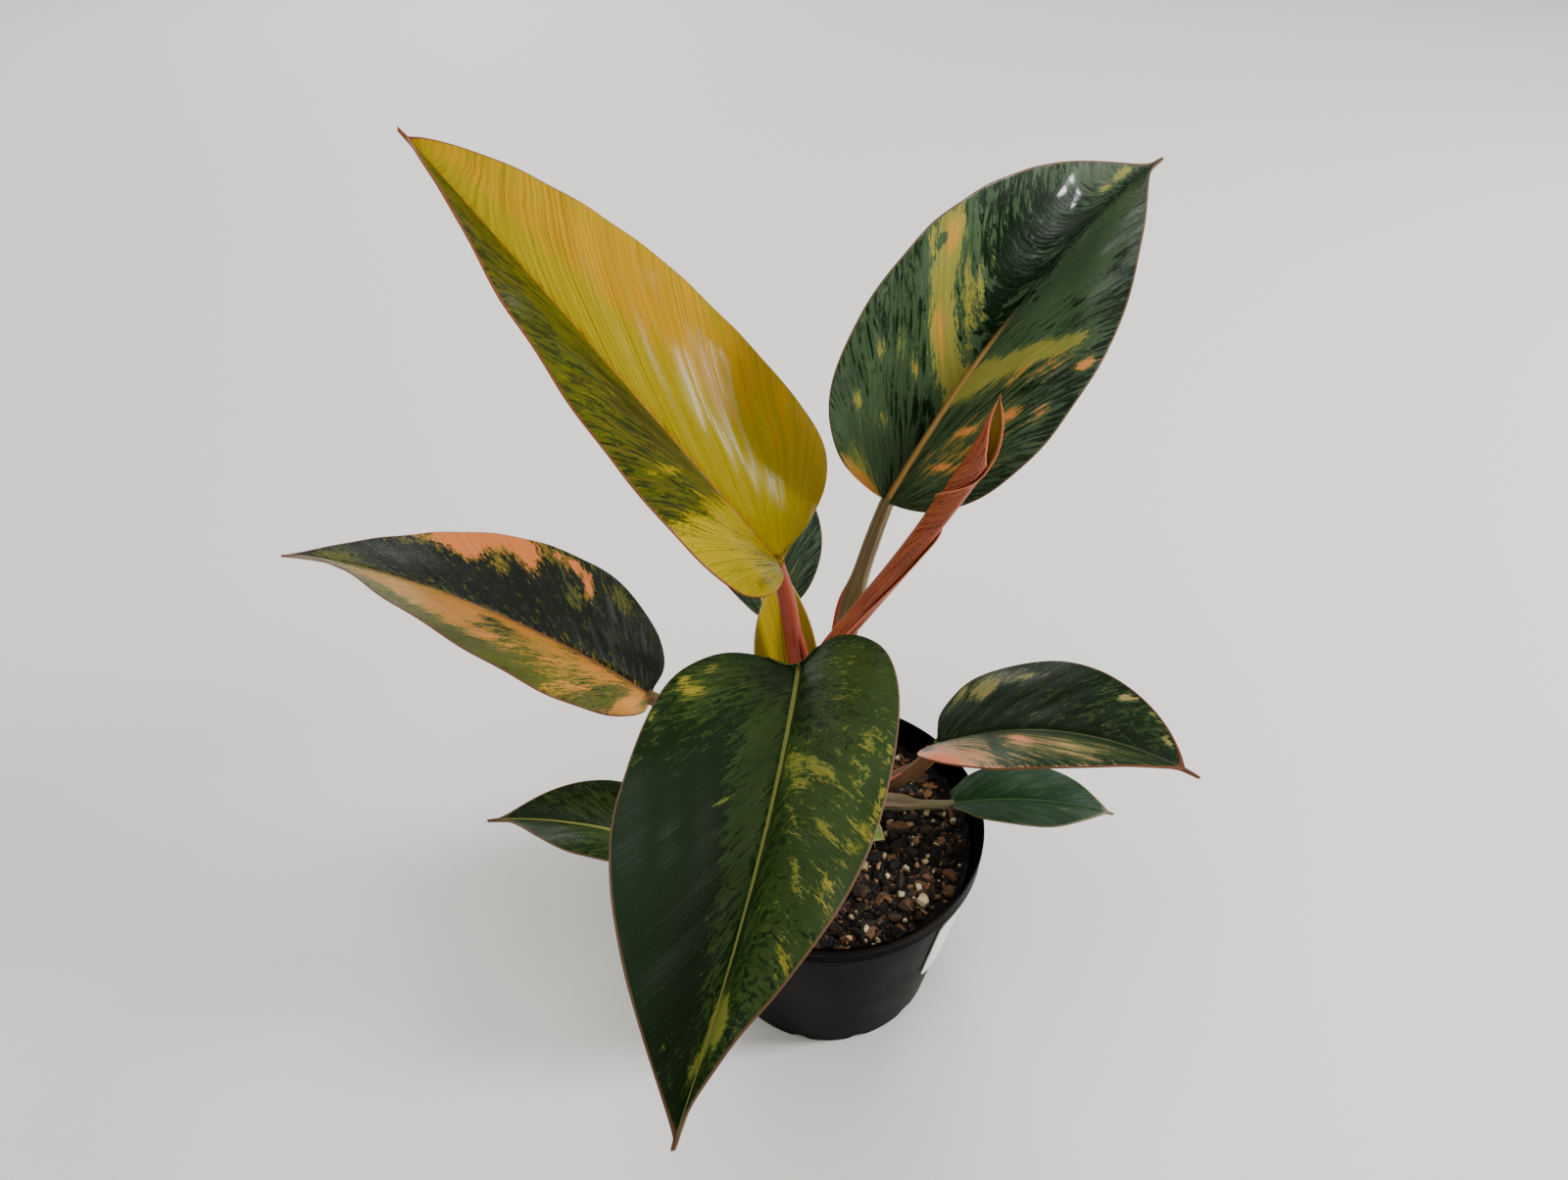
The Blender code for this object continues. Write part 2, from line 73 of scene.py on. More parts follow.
def curveThrough(points, count):
    # A Catmull-Rom curve through the points, sampled at even steps along its length
    points = np.array(points, float)
    longer = np.vstack([2 * points[0] - points[1], points, 2 * points[-1] - points[-2]])
    t = np.linspace(0, 1, 40, endpoint=False)[:, None]
    a, b, c, d = longer[:-3, None], longer[1:-2, None], longer[2:-1, None], longer[3:, None]
    bends = 0.5 * (2 * b + (c - a) * t + (2 * a - 5 * b + 4 * c - d) * t**2 + (3 * b - a - 3 * c + d) * t**3)
    line = np.vstack([bends.reshape(-1, 3), points[-1:]])
    along = np.concatenate([[0], np.cumsum(np.linalg.norm(np.diff(line, axis=0), axis=1))])
    return readOff(np.linspace(0, along[-1], count), along, line)


def anglesRound(count):
    return np.linspace(0, 2 * pi, count, endpoint=False)[None, :]


def turned(radius, angle, height):  # points at that radius, angle and height round the middle line
    return np.stack(np.broadcast_arrays(radius * np.cos(angle), radius * np.sin(angle), height), -1)


def carried(path, up, across, high):
    # A profile carried along a path: across and high are distances to the side and towards up
    along = unit(np.gradient(path, axis=0))
    side = unit(np.cross(along, np.array(up, float)))
    top = np.cross(side, along)
    return path[:, None] + across[..., None] * side[:, None] + high[..., None] * top[:, None]


# Meshes from grids of points

def ringQuads(rows, columns):  # the faces between neighbouring closed rings of points
    down = np.arange(rows - 1)[:, None] * columns
    here = np.arange(columns)[None, :]
    following = (here + 1) % columns
    quads = np.stack([down + here, down + following, down + columns + following, down + columns + here], -1)
    return quads.reshape(-1, 4)


def allRound(over, farRim=None, under=None, nearRim=None):
    # Once round a sheet: over it, the far rim, back underneath and the near rim. What isn't given
    # is as it is over the sheet.
    farRim = over[:, -1:] if farRim is None else farRim
    nearRim = over[:, :1] if nearRim is None else nearRim
    under = over if under is None else under
    return np.concatenate([over, farRim, under[:, ::-1], nearRim], axis=1)


def withUnderside(*fields):  # three fields all round a sheet, and a fourth that is 1 underneath
    over = np.stack(np.broadcast_arrays(*fields, 0.0), -1)
    values = allRound(over)
    values[:, over.shape[1] + 1:-1, 3] = 1
    return values


def sheetFaces(rows, columns, rim=1, lastClosed=True):
    # The faces round a sheet whose rings go over it and back underneath, past rim points at each
    # margin. The first row, and the last, are closed from the top to the underside.
    around = 2 * (columns + rim)
    j = np.arange(columns - 1)
    under = around - 1 - rim - j
    cap = np.stack([j, j + 1, under - 1, under], axis=-1).tolist()
    if rim:
        cap += [[columns - 1, columns, columns + 1], [0, around - 1, around - 2]]
    starts = (0, (rows - 1) * around) if lastClosed else (0,)
    return ringQuads(rows, around).tolist() + [[start + j for j in face] for start in starts for face in cap]


def makeMesh(name, points, faces, attributes=None, mergeDistance=2e-6, sharp=0):
    # Puts whole arrays into a mesh, merges doubled points, and turns the faces outwards
    data = bpy.data.meshes.new(name)
    data.from_pydata(points.reshape(-1, 3).tolist(), [], faces)
    for label, values in (attributes or {}).items():
        layer = data.attributes.new(label, "FLOAT_COLOR", "POINT")
        layer.data.foreach_set("color", np.ascontiguousarray(values, np.float32).ravel())
    work = bmesh.new()
    work.from_mesh(data)
    bmesh.ops.remove_doubles(work, verts=work.verts, dist=mergeDistance)
    bmesh.ops.dissolve_degenerate(work, edges=work.edges, dist=1e-7)
    bmesh.ops.recalc_face_normals(work, faces=work.faces)
    work.to_mesh(data)
    work.free()
    data.shade_smooth()
    if sharp:
        data.set_sharp_from_angle(angle=radians(sharp))
    return data


def addObject(name, data):
    added = bpy.data.objects.new(name, data)
    bpy.context.scene.collection.objects.link(added)
    return added


def addPiece(name, data, material, replaced=()):
    piece = addObject(name, data)
    data.materials.append(material)
    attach(piece, "root")
    if replaced:
        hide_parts(*replaced)


def addTube(name, rings, fields, material, replaced):
    # A closed tube from rings of points, which carries four fields. Each end gets one more ring,
    # all of it at the end's middle, which merging turns into a pole.
    poles = [np.broadcast_to(ring.mean(axis=0), ring.shape)[None] for ring in (rings[0], rings[-1])]
    rings = np.concatenate([poles[0], rings, poles[1]])
    values = np.stack(np.broadcast_arrays(*fields), -1)
    values = np.concatenate([values[:1], values, values[-1:]])
    data = makeMesh(name, rings, ringQuads(*rings.shape[:2]).tolist(), {"stalk": values}, sharp=40)
    addPiece(name, data, material, replaced)


# Materials

def srgb(red, green, blue):
    share = np.array([red, green, blue]) / 255
    linear = np.where(share <= 0.04045, share / 12.92, ((share + 0.055) / 1.055) ** 2.4)
    return (*linear.tolist(), 1)


def newMaterial(name, finish):  # finish holds plain values for the shader's own sockets
    material = bpy.data.materials.new(name)
    material.use_nodes = True
    shader = material.node_tree.nodes["Principled BSDF"]
    for socket, value in finish.items():
        shader.inputs[socket].default_value = value
    return material, shader


def isOutput(value):
    return isinstance(value, bpy.types.NodeSocket)


def put(kind, inputs, tree=None, **settings):
    # One node: its settings, then its inputs, each a plain value or another node's output
    tree = tree or next(value.id_data for value in inputs.values() if isOutput(value))
    node = tree.nodes.new("ShaderNode" + kind)
    for key, value in settings.items():
        setattr(node, key, value)
    for key, value in inputs.items():
        if isOutput(value):
            tree.links.new(value, node.inputs[key])
        else:
            node.inputs[key].default_value = value
    return node


def attribute(shader, name):  # the three parts of what a piece carries, its vector and its fourth
    node = put("Attribute", {}, shader.id_data, attribute_name=name)
    vector = node.outputs["Vector"]
    return *put("SeparateXYZ", {0: vector}).outputs, vector, node.outputs["Alpha"]


def maths(operation, first, second=0.0, third=0.0):
    return put("Math", {0: first, 1: second, 2: third}, operation=operation).outputs[0]


def times(first, second, plus=0.0):  # the first times the second, plus a third
    return maths("MULTIPLY_ADD", first, second, plus)


def swing(field, amount, plus):  # what a noise has over one half, times an amount, plus a third
    return times(maths("SUBTRACT", field, 0.5), amount, plus)


def step(value, low, high, toLow=0.0, toHigh=1.0):  # a soft step from low to high
    inputs = {0: value, 1: low, 2: high, 3: toLow, 4: toHigh}
    return put("MapRange", inputs, interpolation_type="SMOOTHSTEP").outputs[0]


def mixed(share, first, second):  # a colour is an output, or red, green and blue from 0 to 255
    first, second = (color if isOutput(color) else srgb(*color) for color in (first, second))
    inputs = {0: share, 6: first, 7: second}
    return put("Mix", inputs, data_type="RGBA", blend_type="MIX").outputs[2]


def layered(color, fields, layers):
    # Lays each layer's colour, by its amount, where its field goes from low to high, or by the
    # field itself where low and high are None
    for field, low, high, amount, tint in layers:
        share = fields[field] if low is None else step(fields[field], low, high, 0.0, amount)
        color = mixed(share, color, tint)
    return color


def noise(vector, scale, detail, roughness, distortion=0.0):
    if isinstance(scale, tuple):  # a scale for each part of the vector
        vector = put("VectorMath", {0: vector, 1: scale}, operation="MULTIPLY").outputs[0]
        scale = 1.0
    inputs = {"Vector": vector, "Scale": scale, "Detail": detail, "Roughness": roughness}
    return put("TexNoise", {**inputs, "Distortion": distortion}).outputs[0]


def placeNoises(shader, noises):  # each named noise, on the object's own places
    place = put("TexCoord", {}, shader.id_data).outputs["Object"]
    return {name: noise(place, *values) for name, values in noises.items()}


def finished(shader, color, height, depth, **others):
    # Links the colour, a bump of that depth and any others to the shader
    relief = put("Bump", {"Height": height, "Distance": depth, "Strength": 1.0}).outputs[0]
    for socket, value in {"Base Color": color, "Normal": relief, **others}.items():
        shader.id_data.links.new(value, shader.inputs[socket])


def layeredMaterial(name, look):
    # Noises on the object's places tint the base colour in layers, raise the surface by the amounts
    # under raised, and may set other sockets: a field times an amount, plus a least value. Stones
    # carry random tones. The first, raised to a power, is the field pick, and the second is tone.
    material, shader = newMaterial(name, look["shader"])
    fields = placeNoises(shader, look["noises"])
    if "power" in look:
        pick, fields["tone"], *_ = attribute(shader, "tone")
        fields["pick"] = maths("POWER", pick, look["power"])
    height = 0.0
    for field, amount in look["raised"].items():
        height = times(fields[field], amount, height)
    others = {
        socket: times(fields[field], amount, least)
        for socket, (field, amount, least) in look.get("others", {}).items()
    }
    color = layered(look["base"], fields, look["layers"])
    finished(shader, color, height, look["relief"], **others)
    return material


# Leaf blades
# A leaf is worked out flat, x along the midrib and y across it, and then bent as one sheet.
# base is where the stalk meets it, and length and half are its length and the width of each half.
# heading, rise and roll turn it, and fold, curl, droop, sway and twist bend it, in degrees. lobe,
# widest, taper, full, tail and tailWidth shape its margin. veins says how far the side veins lean
# towards the tip, at the base and at the tip of each half. Of two values the left half's is first.
# The stalk leaves the stem at the height attach and the angle azimuth, and passes the points of
# stalk. wing says how far along it the sheath reaches and how much wider it is there, and neckDrop
# how far under the blade it ends, in stalk radii.
# pale, warm and mid are how pale, how warm and how light a green the whole leaf is, and mottle how
# flecked each half is. Each mark adds to them: (place along, place across, half size along, half
# size across, paler, warmer, lighter green, hardness), with 0 and 2 for the last two where they
# are left out. Its places and sizes are shares, 0 to 1 from the base, and -1 to 1 with 1 at the
# left margin.

commonLeaf = dict(neckDrop=0.4, twist=0, roll=0, veins=((0.2, 0), (0.2, 0)), pale=0.0, warm=0.0)

leaves = {
    "upper_left": dict(
        commonLeaf, base=(-0.0162, 0.0241, 0.1686), heading=157.4, rise=47.2, roll=-6.0, length=0.1572,
        half=(0.0436, 0.0439), fold=(36.1, 31.9), twist=-2.0, curl=(-44.5, -19.2),
        droop=6.5, sway=-6.9, lobe=0.001, widest=0.218, taper=0.81, full=0.68,
        tail=0.03, tailWidth=0.21,
        stalk=[(-0.0105, 0.0193, 0.134), (-0.012, 0.0224, 0.143), (-0.0136, 0.0243, 0.154)],
        attach=0.1195, azimuth=132, stalkRadius=0.0028, wing=(0.45, 1.25),
        veins=((0.45, 0), (0.56, -0.05)), mid=0.35, pale=1.0, warm=0.2, mottle=(0.12, 0.04), look="yellow",
        marks=[
            (0.735, 0.66, 0.275, 0.66, -0.86, -0.3, 0.15, 10), (0.64, 0.42, 0.08, 0.2, -0.1, 0, -0.25),
            (0.88, 0.4, 0.06, 0.5, -0.3, 0), (0.54, 0.65, 0.014, 0.2, 0.42, 0.3),
            (0.97, -0.5, 0.05, 0.6, 0, 0.1), (0.72, -0.65, 0.2, 0.34, 0, 0.36),
            (0.7, -0.1, 0.4, 0.26, 0, -0.5), (0.25, 0.5, 0.2, 0.6, -0.4, -0.35),
            (0.42, -0.95, 0.2, 0.25, 0, 0.1),
        ],
    ),
    "upper_right": dict(
        commonLeaf, base=(0.0178, 0.0422, 0.1771), heading=46.7, rise=25.1, roll=-18.0, length=0.1626,
        half=(0.0458, 0.0449), fold=(47.6, 50.4), curl=(12.0, -25.3),
        droop=42.8, sway=-7.6, lobe=-0.004, widest=0.279, taper=1.47, full=0.82,
        tail=0.04, tailWidth=0.23,
        stalk=[
            (0.004, 0.025, 0.119), (0.0066, 0.0345, 0.137), (0.0108, 0.0393, 0.152), (0.0148, 0.0409, 0.167),
        ],
        attach=0.112, azimuth=40, stalkRadius=0.0026, wing=(0.6, 1.55),
        veins=((0.4, -0.3), (0.6, -0.2)), mid=0.48, warm=0.02, mottle=(0.11, 0.16), look="dark",
        marks=[
            (0.02, 0.58, 0.14, 0.4, 1.2, 0.9, 0, 4), (0.21, 0.55, 0.06, 0.35, 0.34, -0.3, 0.3),
            (0.552, 0.3, 0.034, 0.34, 0.95, 0.05, 0.3), (0.566, 0.85, 0.036, 0.3, 0.85, 0.05, 0.3),
            (0.545, 0.4, 0.010, 0.2, 0.1, 0.42), (0.572, 0.86, 0.014, 0.1, 0.3, 0.5),
            (0.558, 0.88, 0.009, 0.03, -1.2, 0), (0.613, 0.38, 0.014, 0.3, 0.7, 0, 0.1),
            (0.64, 0.4, 0.012, 0.26, 0.6, 0, 0.1), (0.662, 0.45, 0.008, 0.15, 0.5, 0),
            (0.325, 0.7, 0.014, 0.07, 0.8, 0.2), (0.36, 0.4, 0.02, 0.1, 0.45, 0.1),
            (0.42, 0.72, 0.01, 0.07, 0.6, 0.1), (0.46, 0.58, 0.02, 0.12, 0.4, 0),
            (0.475, 0.4, 0.016, 0.1, 0.6, 0.2), (0.9, 0.78, 0.02, 0.22, 0.8, -0.1),
            (0.872, 0.55, 0.012, 0.1, 0.6, 0), (0.75, 0.5, 0.1, 0.45, 0, -0.3, -0.16, 4),
            (0.33, 0.55, 0.16, 0.45, 0.1, 0, 0.16), (0.83, 0.85, 0.08, 0.2, 0.15, 0, 0.2),
            (0.565, -0.1, 0.045, 0.18, 1.05, -0.3, 0.3), (0.572, -0.42, 0.024, 0.3, 1, -0.2, 0.3),
            (0.562, -0.75, 0.013, 0.15, 0.8, 0, 0.3), (0.37, -0.42, 0.12, 0.42, 0.46, 0.5, 0.1),
            (0.455, -0.62, 0.014, 0.07, 0.6, 1), (0.515, -0.92, 0.011, 0.045, 1, 1),
            (0.45, -0.82, 0.016, 0.05, 0.5, 0.9), (0.335, -0.38, 0.012, 0.1, 0.4, 0.8),
            (0.435, -0.37, 0.009, 0.09, 0.5, 0.8), (0.53, -0.62, 0.02, 0.2, 0.4, 0.6),
            (0.78, -0.45, 0.15, 0.35, -0.2, 0, 0.5, 3),
        ],
    ),
    "front": dict(
        commonLeaf, base=(-0.0103, -0.0047, 0.1515), heading=255.3, rise=-17.1, roll=-21.2, length=0.1318,
        half=(0.0409, 0.0396), fold=(50.0, 38.8), twist=18.3, curl=(-62.5, 0),
        droop=16.4, sway=-21.7, lobe=0.023, widest=0.399, taper=1.13, full=0.64,
        tail=0.03, tailWidth=0.20,
        stalk=[(-0.002, -0.0075, 0.103), (-0.005, -0.0065, 0.122), (-0.0092, -0.0035, 0.141)],
        attach=0.090, azimuth=-80, stalkRadius=0.0026, wing=(0.5, 1.3), neckDrop=0.9,
        veins=((0.1, -0.3), (0.2, 0)), mid=0.36, mottle=(0.17, 0.06), look="green",
        marks=[
            (0.535, 0.27, 0.045, 0.24, 0.48, 0.1, 0.3, 3), (0.5, 0.47, 0.016, 0.1, 0.5, 0.1),
            (0.44, 0.82, 0.03, 0.07, 0.34, 0.1, 0.1), (0.49, 0.62, 0.013, 0.09, 0.4, 0.2),
            (0.52, 0.92, 0.035, 0.07, 0.3, 0.3, 0.1), (0.65, 0.64, 0.012, 0.11, 0.6, 0.1),
            (0.715, 0.86, 0.02, 0.14, 0.4, 0.3), (0.565, 0.7, 0.012, 0.12, 0.36, 0.1, 0.1),
            (0.45, 0.97, 0.035, 0.04, 0.5, 0.3), (0.61, 0.9, 0.03, 0.08, 0.32, 0.3, 0.1),
            (0.61, 0.38, 0.015, 0.12, 0.4, 0.1), (0.6, 0.6, 0.25, 0.5, 0.22, 0, 0.28),
            (0.25, 0.65, 0.12, 0.35, 0.26, -0.3, 0.25), (0.856, 0.62, 0.024, 0.18, 1, -0.1, 0.2, 3),
            (0.45, 0.92, 0.2, 0.2, 0.08, 0.05, 0.3), (0.88, 0.38, 0.028, 0.18, 1, -0.1, 0.2, 3),
            (0.906, 0.12, 0.03, 0.22, 1, -0.1, 0.2, 3), (0.935, -0.2, 0.014, 0.2, 0.8, -0.1, 0.2),
            (0.31, -0.78, 0.03, 0.1, 0.45, 0.45), (0.215, -0.79, 0.03, 0.07, 0.36, 0.3),
            (0.27, -0.9, 0.03, 0.05, 0.4, 0.4), (0.37, -0.97, 0.015, 0.03, 0.6, 0.4),
            (0.26, -0.68, 0.13, 0.3, 0.3, 0, 0.25), (0.592, -0.38, 0.006, 0.1, 0.7, -0.1),
            (0.66, -0.68, 0.22, 0.36, -0.12, 0, -0.25, 4), (0.58, -0.18, 0.28, 0.2, 0.05, 0, 0.3, 3),
            (0.88, -0.8, 0.012, 0.1, 0.4, 0),
        ],
    ),
    "left": dict(
        commonLeaf, base=(-0.0583, 0.0176, 0.1185), heading=159.4, rise=8.5, roll=-14.2, length=0.1451,
        half=(0.0371, 0.0376), fold=(28.9, 16.2), twist=17.2, curl=(-20.1, 1.5),
        droop=43.9, sway=-19.9, lobe=0.012, widest=0.294, taper=1.51, full=0.92,
        tail=0.01, tailWidth=0.21,
        stalk=[(-0.014, 0.0085, 0.099), (-0.028, 0.0115, 0.104), (-0.044, 0.0146, 0.1105)],
        attach=0.094, azimuth=165, stalkRadius=0.0026, wing=(0.5, 1.3),
        veins=((0.2, -0.1), (0.2, 0)), mid=0.30, warm=0.35, mottle=(0.18, 0.07), look="coral",
        marks=[
            (0.45, 0.55, 0.62, 0.56, 0.95, 0.05, 0.15, 5), (0.275, 0.6, 0.055, 0.38, -0.85, 0, 0.2, 3),
            (0.46, 0.68, 0.09, 0.4, -0.52, -0.3, 0.24, 3), (0.45, 0.5, 0.02, 0.14, 0.3, 0.3),
            (0.575, 0.48, 0.025, 0.18, -0.7, 0), (0.615, 0.36, 0.025, 0.09, -0.7, 0),
            (0.56, 0.97, 0.2, 0.18, -0.6, -0.3, 0.34, 3), (0.54, 0.68, 0.014, 0.07, 0.3, 0.8),
            (0.19, 0.58, 0.05, 0.2, 0.1, 0.12), (0.9, 0.5, 0.13, 0.6, -0.5, -0.6, 0.5, 3),
            (0.1, 0.5, 0.06, 0.4, -0.6, 0, 0.1), (0.35, 0.5, 0.05, 0.4, -0.3, 0),
            (0.655, -1, 0.11, 0.2, 1.2, 0.7, 0.2), (0.575, -0.74, 0.02, 0.16, 0.7, 0.8),
            (0.69, -0.76, 0.03, 0.16, 0.6, 0.8), (0.635, -0.64, 0.016, 0.14, 0.5, -0.5, 0.2),
            (0.452, -0.74, 0.014, 0.14, 0.9, 0.8), (0.475, -0.88, 0.014, 0.08, 0.6, 0.8),
            (0.36, -0.82, 0.04, 0.12, 0.3, 0.2, 0.3), (0.5, -0.9, 0.05, 0.1, 0.3, 0.5, 0.2),
            (0.49, -0.55, 0.02, 0.14, 0.3, -0.4, 0.3), (0.91, -0.45, 0.03, 0.35, 0.3, -0.6, 0.5),
            (0.45, -0.4, 0.5, 0.38, 0.04, -0.3, -0.06, 4),
        ],
    ),
    "right": dict(
        commonLeaf, base=(0.0355, 0.0066, 0.1045), heading=-34.0, rise=24.2, roll=8.2, length=0.0884,
        half=(0.0262, 0.0267), fold=(29.3, 22.6), twist=-14.2, curl=(-10.0, -38.1),
        droop=42.4, sway=-18.5, lobe=0.011, widest=0.359, taper=0.93, full=0.82,
        tail=0.09, tailWidth=0.20,
        stalk=[(0.013, 0.0095, 0.0765), (0.021, 0.0098, 0.082), (0.0295, 0.0085, 0.0915)],
        attach=0.0755, azimuth=40, stalkRadius=0.0026, wing=(0.62, 1.5),
        veins=((0.3, -0.1), (0.9, 0.5)), mid=0.34, warm=0.2, mottle=(0.11, 0.18), look="blush",
        marks=[
            (0.385, 0.62, 0.03, 0.16, 0.5, -0.1), (0.33, 0.72, 0.03, 0.12, 0.3, -0.1),
            (0.24, 0.86, 0.05, 0.13, 0.4, -0.1), (0.47, 0.77, 0.025, 0.06, 0.5, -0.1),
            (0.74, 0.87, 0.015, 0.08, 0.8, 0.3), (0.8, 0.95, 0.06, 0.05, 0.45, 0.1),
            (0.89, 0.85, 0.02, 0.1, 0.8, 0.4), (0.82, 0.65, 0.14, 0.35, 0.12, -0.5, 0.12),
            (0.32, 0.8, 0.18, 0.28, 0.38, -0.3, 0.1), (0.2, -0.98, 0.22, 0.2, 1.3, 0.95, 0, 3),
            (0.42, -0.66, 0.22, 0.4, 0.56, 0.1, 0.3), (0.3, -0.6, 0.08, 0.25, 0.25, 0.4, 0.2),
            (0.62, -0.45, 0.03, 0.14, 0.5, 0.6), (0.76, -0.6, 0.13, 0.35, 0.5, 0, 0.2),
            (0.53, -0.55, 0.02, 0.25, -0.7, 0), (0.6, -1, 0.4, 0.04, 0.25, 0.3),
        ],
    ),
    "right_small": dict(
        commonLeaf, base=(0.0406, -0.0015, 0.0854), heading=-0.8, rise=-5.6, roll=6.4, length=0.0556,
        half=(0.0140, 0.0148), fold=(24.2, 24.1), curl=(-21.5, -27.8),
        droop=28.3, sway=-3.6, lobe=-0.046, widest=0.493, taper=1.07, full=0.97,
        tail=0.07, tailWidth=0.20,
        stalk=[(0.0120, -0.0005, 0.0838), (0.0200, 0, 0.084), (0.0300, -0.0012, 0.0842)],
        attach=0.0828, azimuth=-12, stalkRadius=0.0016, wing=(0.62, 1.9),
        mid=0.42, warm=0.1, mottle=(0.05, 0.04), look="plain",
        marks=[
            (0.75, -0.6, 0.03, 0.1, 0.5, 0.1), (0.55, 0.5, 0.15, 0.25, 0.15, 0, 0.1),
        ],
    ),
    "left_small": dict(
        commonLeaf, base=(-0.0510, -0.0196, 0.0874), heading=167.4, rise=-2.7, roll=-8.3, length=0.0642,
        half=(0.0163, 0.0173), fold=(27.9, 29.8), twist=8.6, curl=(-27.3, -17.3),
        droop=23.9, sway=6.2, lobe=-0.001, widest=0.387, taper=1.41, full=0.85,
        tail=0.09, tailWidth=0.21,
        stalk=[(-0.013, -0.004, 0.080), (-0.026, -0.0105, 0.082), (-0.039, -0.0165, 0.0845)],
        attach=0.079, azimuth=200, stalkRadius=0.0018, wing=(0.5, 1.5),
        mid=0.40, mottle=(0.09, 0.07), look="green",
        marks=[
            (0.55, 0.3, 0.2, 0.4, 0.25, -0.2, 0.2), (0.6, -0.5, 0.2, 0.3, 0.2, -0.2, 0.1),
        ],
    ),
    "back": dict(
        commonLeaf, base=(-0.0205, 0.0489, 0.1234), heading=100.5, rise=7.0, roll=-10.5, length=0.0958,
        half=(0.0249, 0.0251), fold=(33.3, 33.1), twist=-8.2, curl=(-13.8, -15.9),
        droop=22.9, sway=2.3, lobe=-0.009, widest=0.373, taper=1.30, full=0.95,
        tail=0.10, tailWidth=0.20,
        stalk=[(-0.0075, 0.016, 0.0985), (-0.0125, 0.0265, 0.1045), (-0.0175, 0.0385, 0.113)],
        attach=0.0955, azimuth=115, stalkRadius=0.0021, wing=(0.5, 1.3),
        mid=0.40, mottle=(0.06, 0.05), look="dark",
        marks=[
            (0.3, -0.5, 0.2, 0.4, 0.3, -0.3, 0.1), (0.5, 0.4, 0.15, 0.3, 0.25, -0.2, 0.1),
        ],
    ),
}

blade = dict(
    smallLeaf=0.07, thin=0.0006, turnShare=0.45, lobeReach=0.16, veinLag=2.4, veinSweep=1.15,
    crowding=0.1, ribWidth=0.0017, thinning=0.8, rimOut=0.45, groove=0.00045, grooveWidth=0.0011,
    linePitch=0.0013, lineStretch=1.15, lineBend=1.5, lineEnds=0.12,
    quilt=0.00022, quiltPitch=0.0085, quiltLevel=0.6, quiltPeak=0.7, quiltLeast=0.04,
    wander=0.0006, wanderPitch=0.034, wanderWaves=9, wanderStretch=1.6, wanderStart=1.5, swellStart=1.4,
    grooveTaper=(1.2, -0.6), mottleFade=0.1, flattest=1e-3, knots=(-0.3, 1, 200), rowSteps=3000,
)
sheets = dict(
    large=dict(rows=150, columns=89, sinus=0.0034, rib=0.0024, relief=1.0),
    small=dict(rows=96, columns=57, sinus=0.0034, rib=0.0024, relief=1.0),
    bract=dict(rows=80, columns=41, sinus=0.0011, rib=0.0011, relief=0.4),
)


def sided(pair, across):  # the first of a pair left of the midrib, the second right of it
    return np.where(across >= 0, pair[0], pair[1])


def margin(q, leaf, notch):
    # The flat margin from the notch at q = 0 to the tip at q = 1: a rounded base that is a
    # quarter turn raised to the power full, then a taper (1 - t)^taper (1 + taper t) and a tip
    turn = blade["turnShare"]
    a = np.clip(q / turn, 0, 1) * pi / 2
    baseY = notch + (1 - notch) * np.sin(a) ** leaf["full"]
    baseX = leaf["widest"] - (leaf["widest"] + leaf["lobe"]) * np.cos(a) ** leaf["full"]
    baseX = baseX + leaf["lobe"] * bump(baseY, notch, blade["lobeReach"])
    t = np.clip((q - turn) / (1 - turn), 0, 1)
    body = np.clip(1 - t / (1 - leaf["tail"]), 0, 1)
    body = body ** leaf["taper"] * (1 + leaf["taper"] * (1 - body))
    tipY = np.hypot(body, leaf["tailWidth"] * (1 - t) * np.sqrt(t))
    tipX = leaf["widest"] + (1 - leaf["widest"]) * t
    return np.where(q < turn, baseX, tipX), np.where(q < turn, baseY, tipY)


def directions(leaf):
    # Unit vectors along the midrib, out of the upper face and to the left
    h, e, r = radians(leaf["heading"]), radians(leaf["rise"]), radians(leaf["roll"])
    along = np.array([cos(h) * cos(e), sin(h) * cos(e), sin(e)])
    up = unit(np.array([0, 0, 1.0]) - along * along[2])
    up = up * cos(r) + np.cross(up, along) * sin(r)
    return along, up, np.cross(up, along)


def midrib(leaf, u):
    # The midrib turns down by droop and sideways by sway at an even rate over its length
    along, up, left = directions(leaf)

    def turnedTo(u):
        a, b = ((radians(leaf[key]) * (np.clip(u, 0, 1) - 0.5))[:, None] for key in ("droop", "sway"))
        ahead = unit(np.cos(a) * np.cos(b) * along - np.sin(a) * up + np.sin(b) * np.cos(a) * left)
        above = np.cos(a) * up + np.sin(a) * along
        return ahead, unit(above - ahead * (above * ahead).sum(axis=1, keepdims=True))

    knots = np.linspace(*blade["knots"])
    ahead, _ = turnedTo(knots)
    steps = (ahead[1:] + ahead[:-1]) / 2 * (knots[1] - knots[0]) * leaf["length"]
    line = np.vstack([np.zeros(3), np.cumsum(steps, axis=0)])
    line = line - readOff(0, knots, line) + np.array(leaf["base"])
    return readOff(u, knots, line), *turnedTo(u)


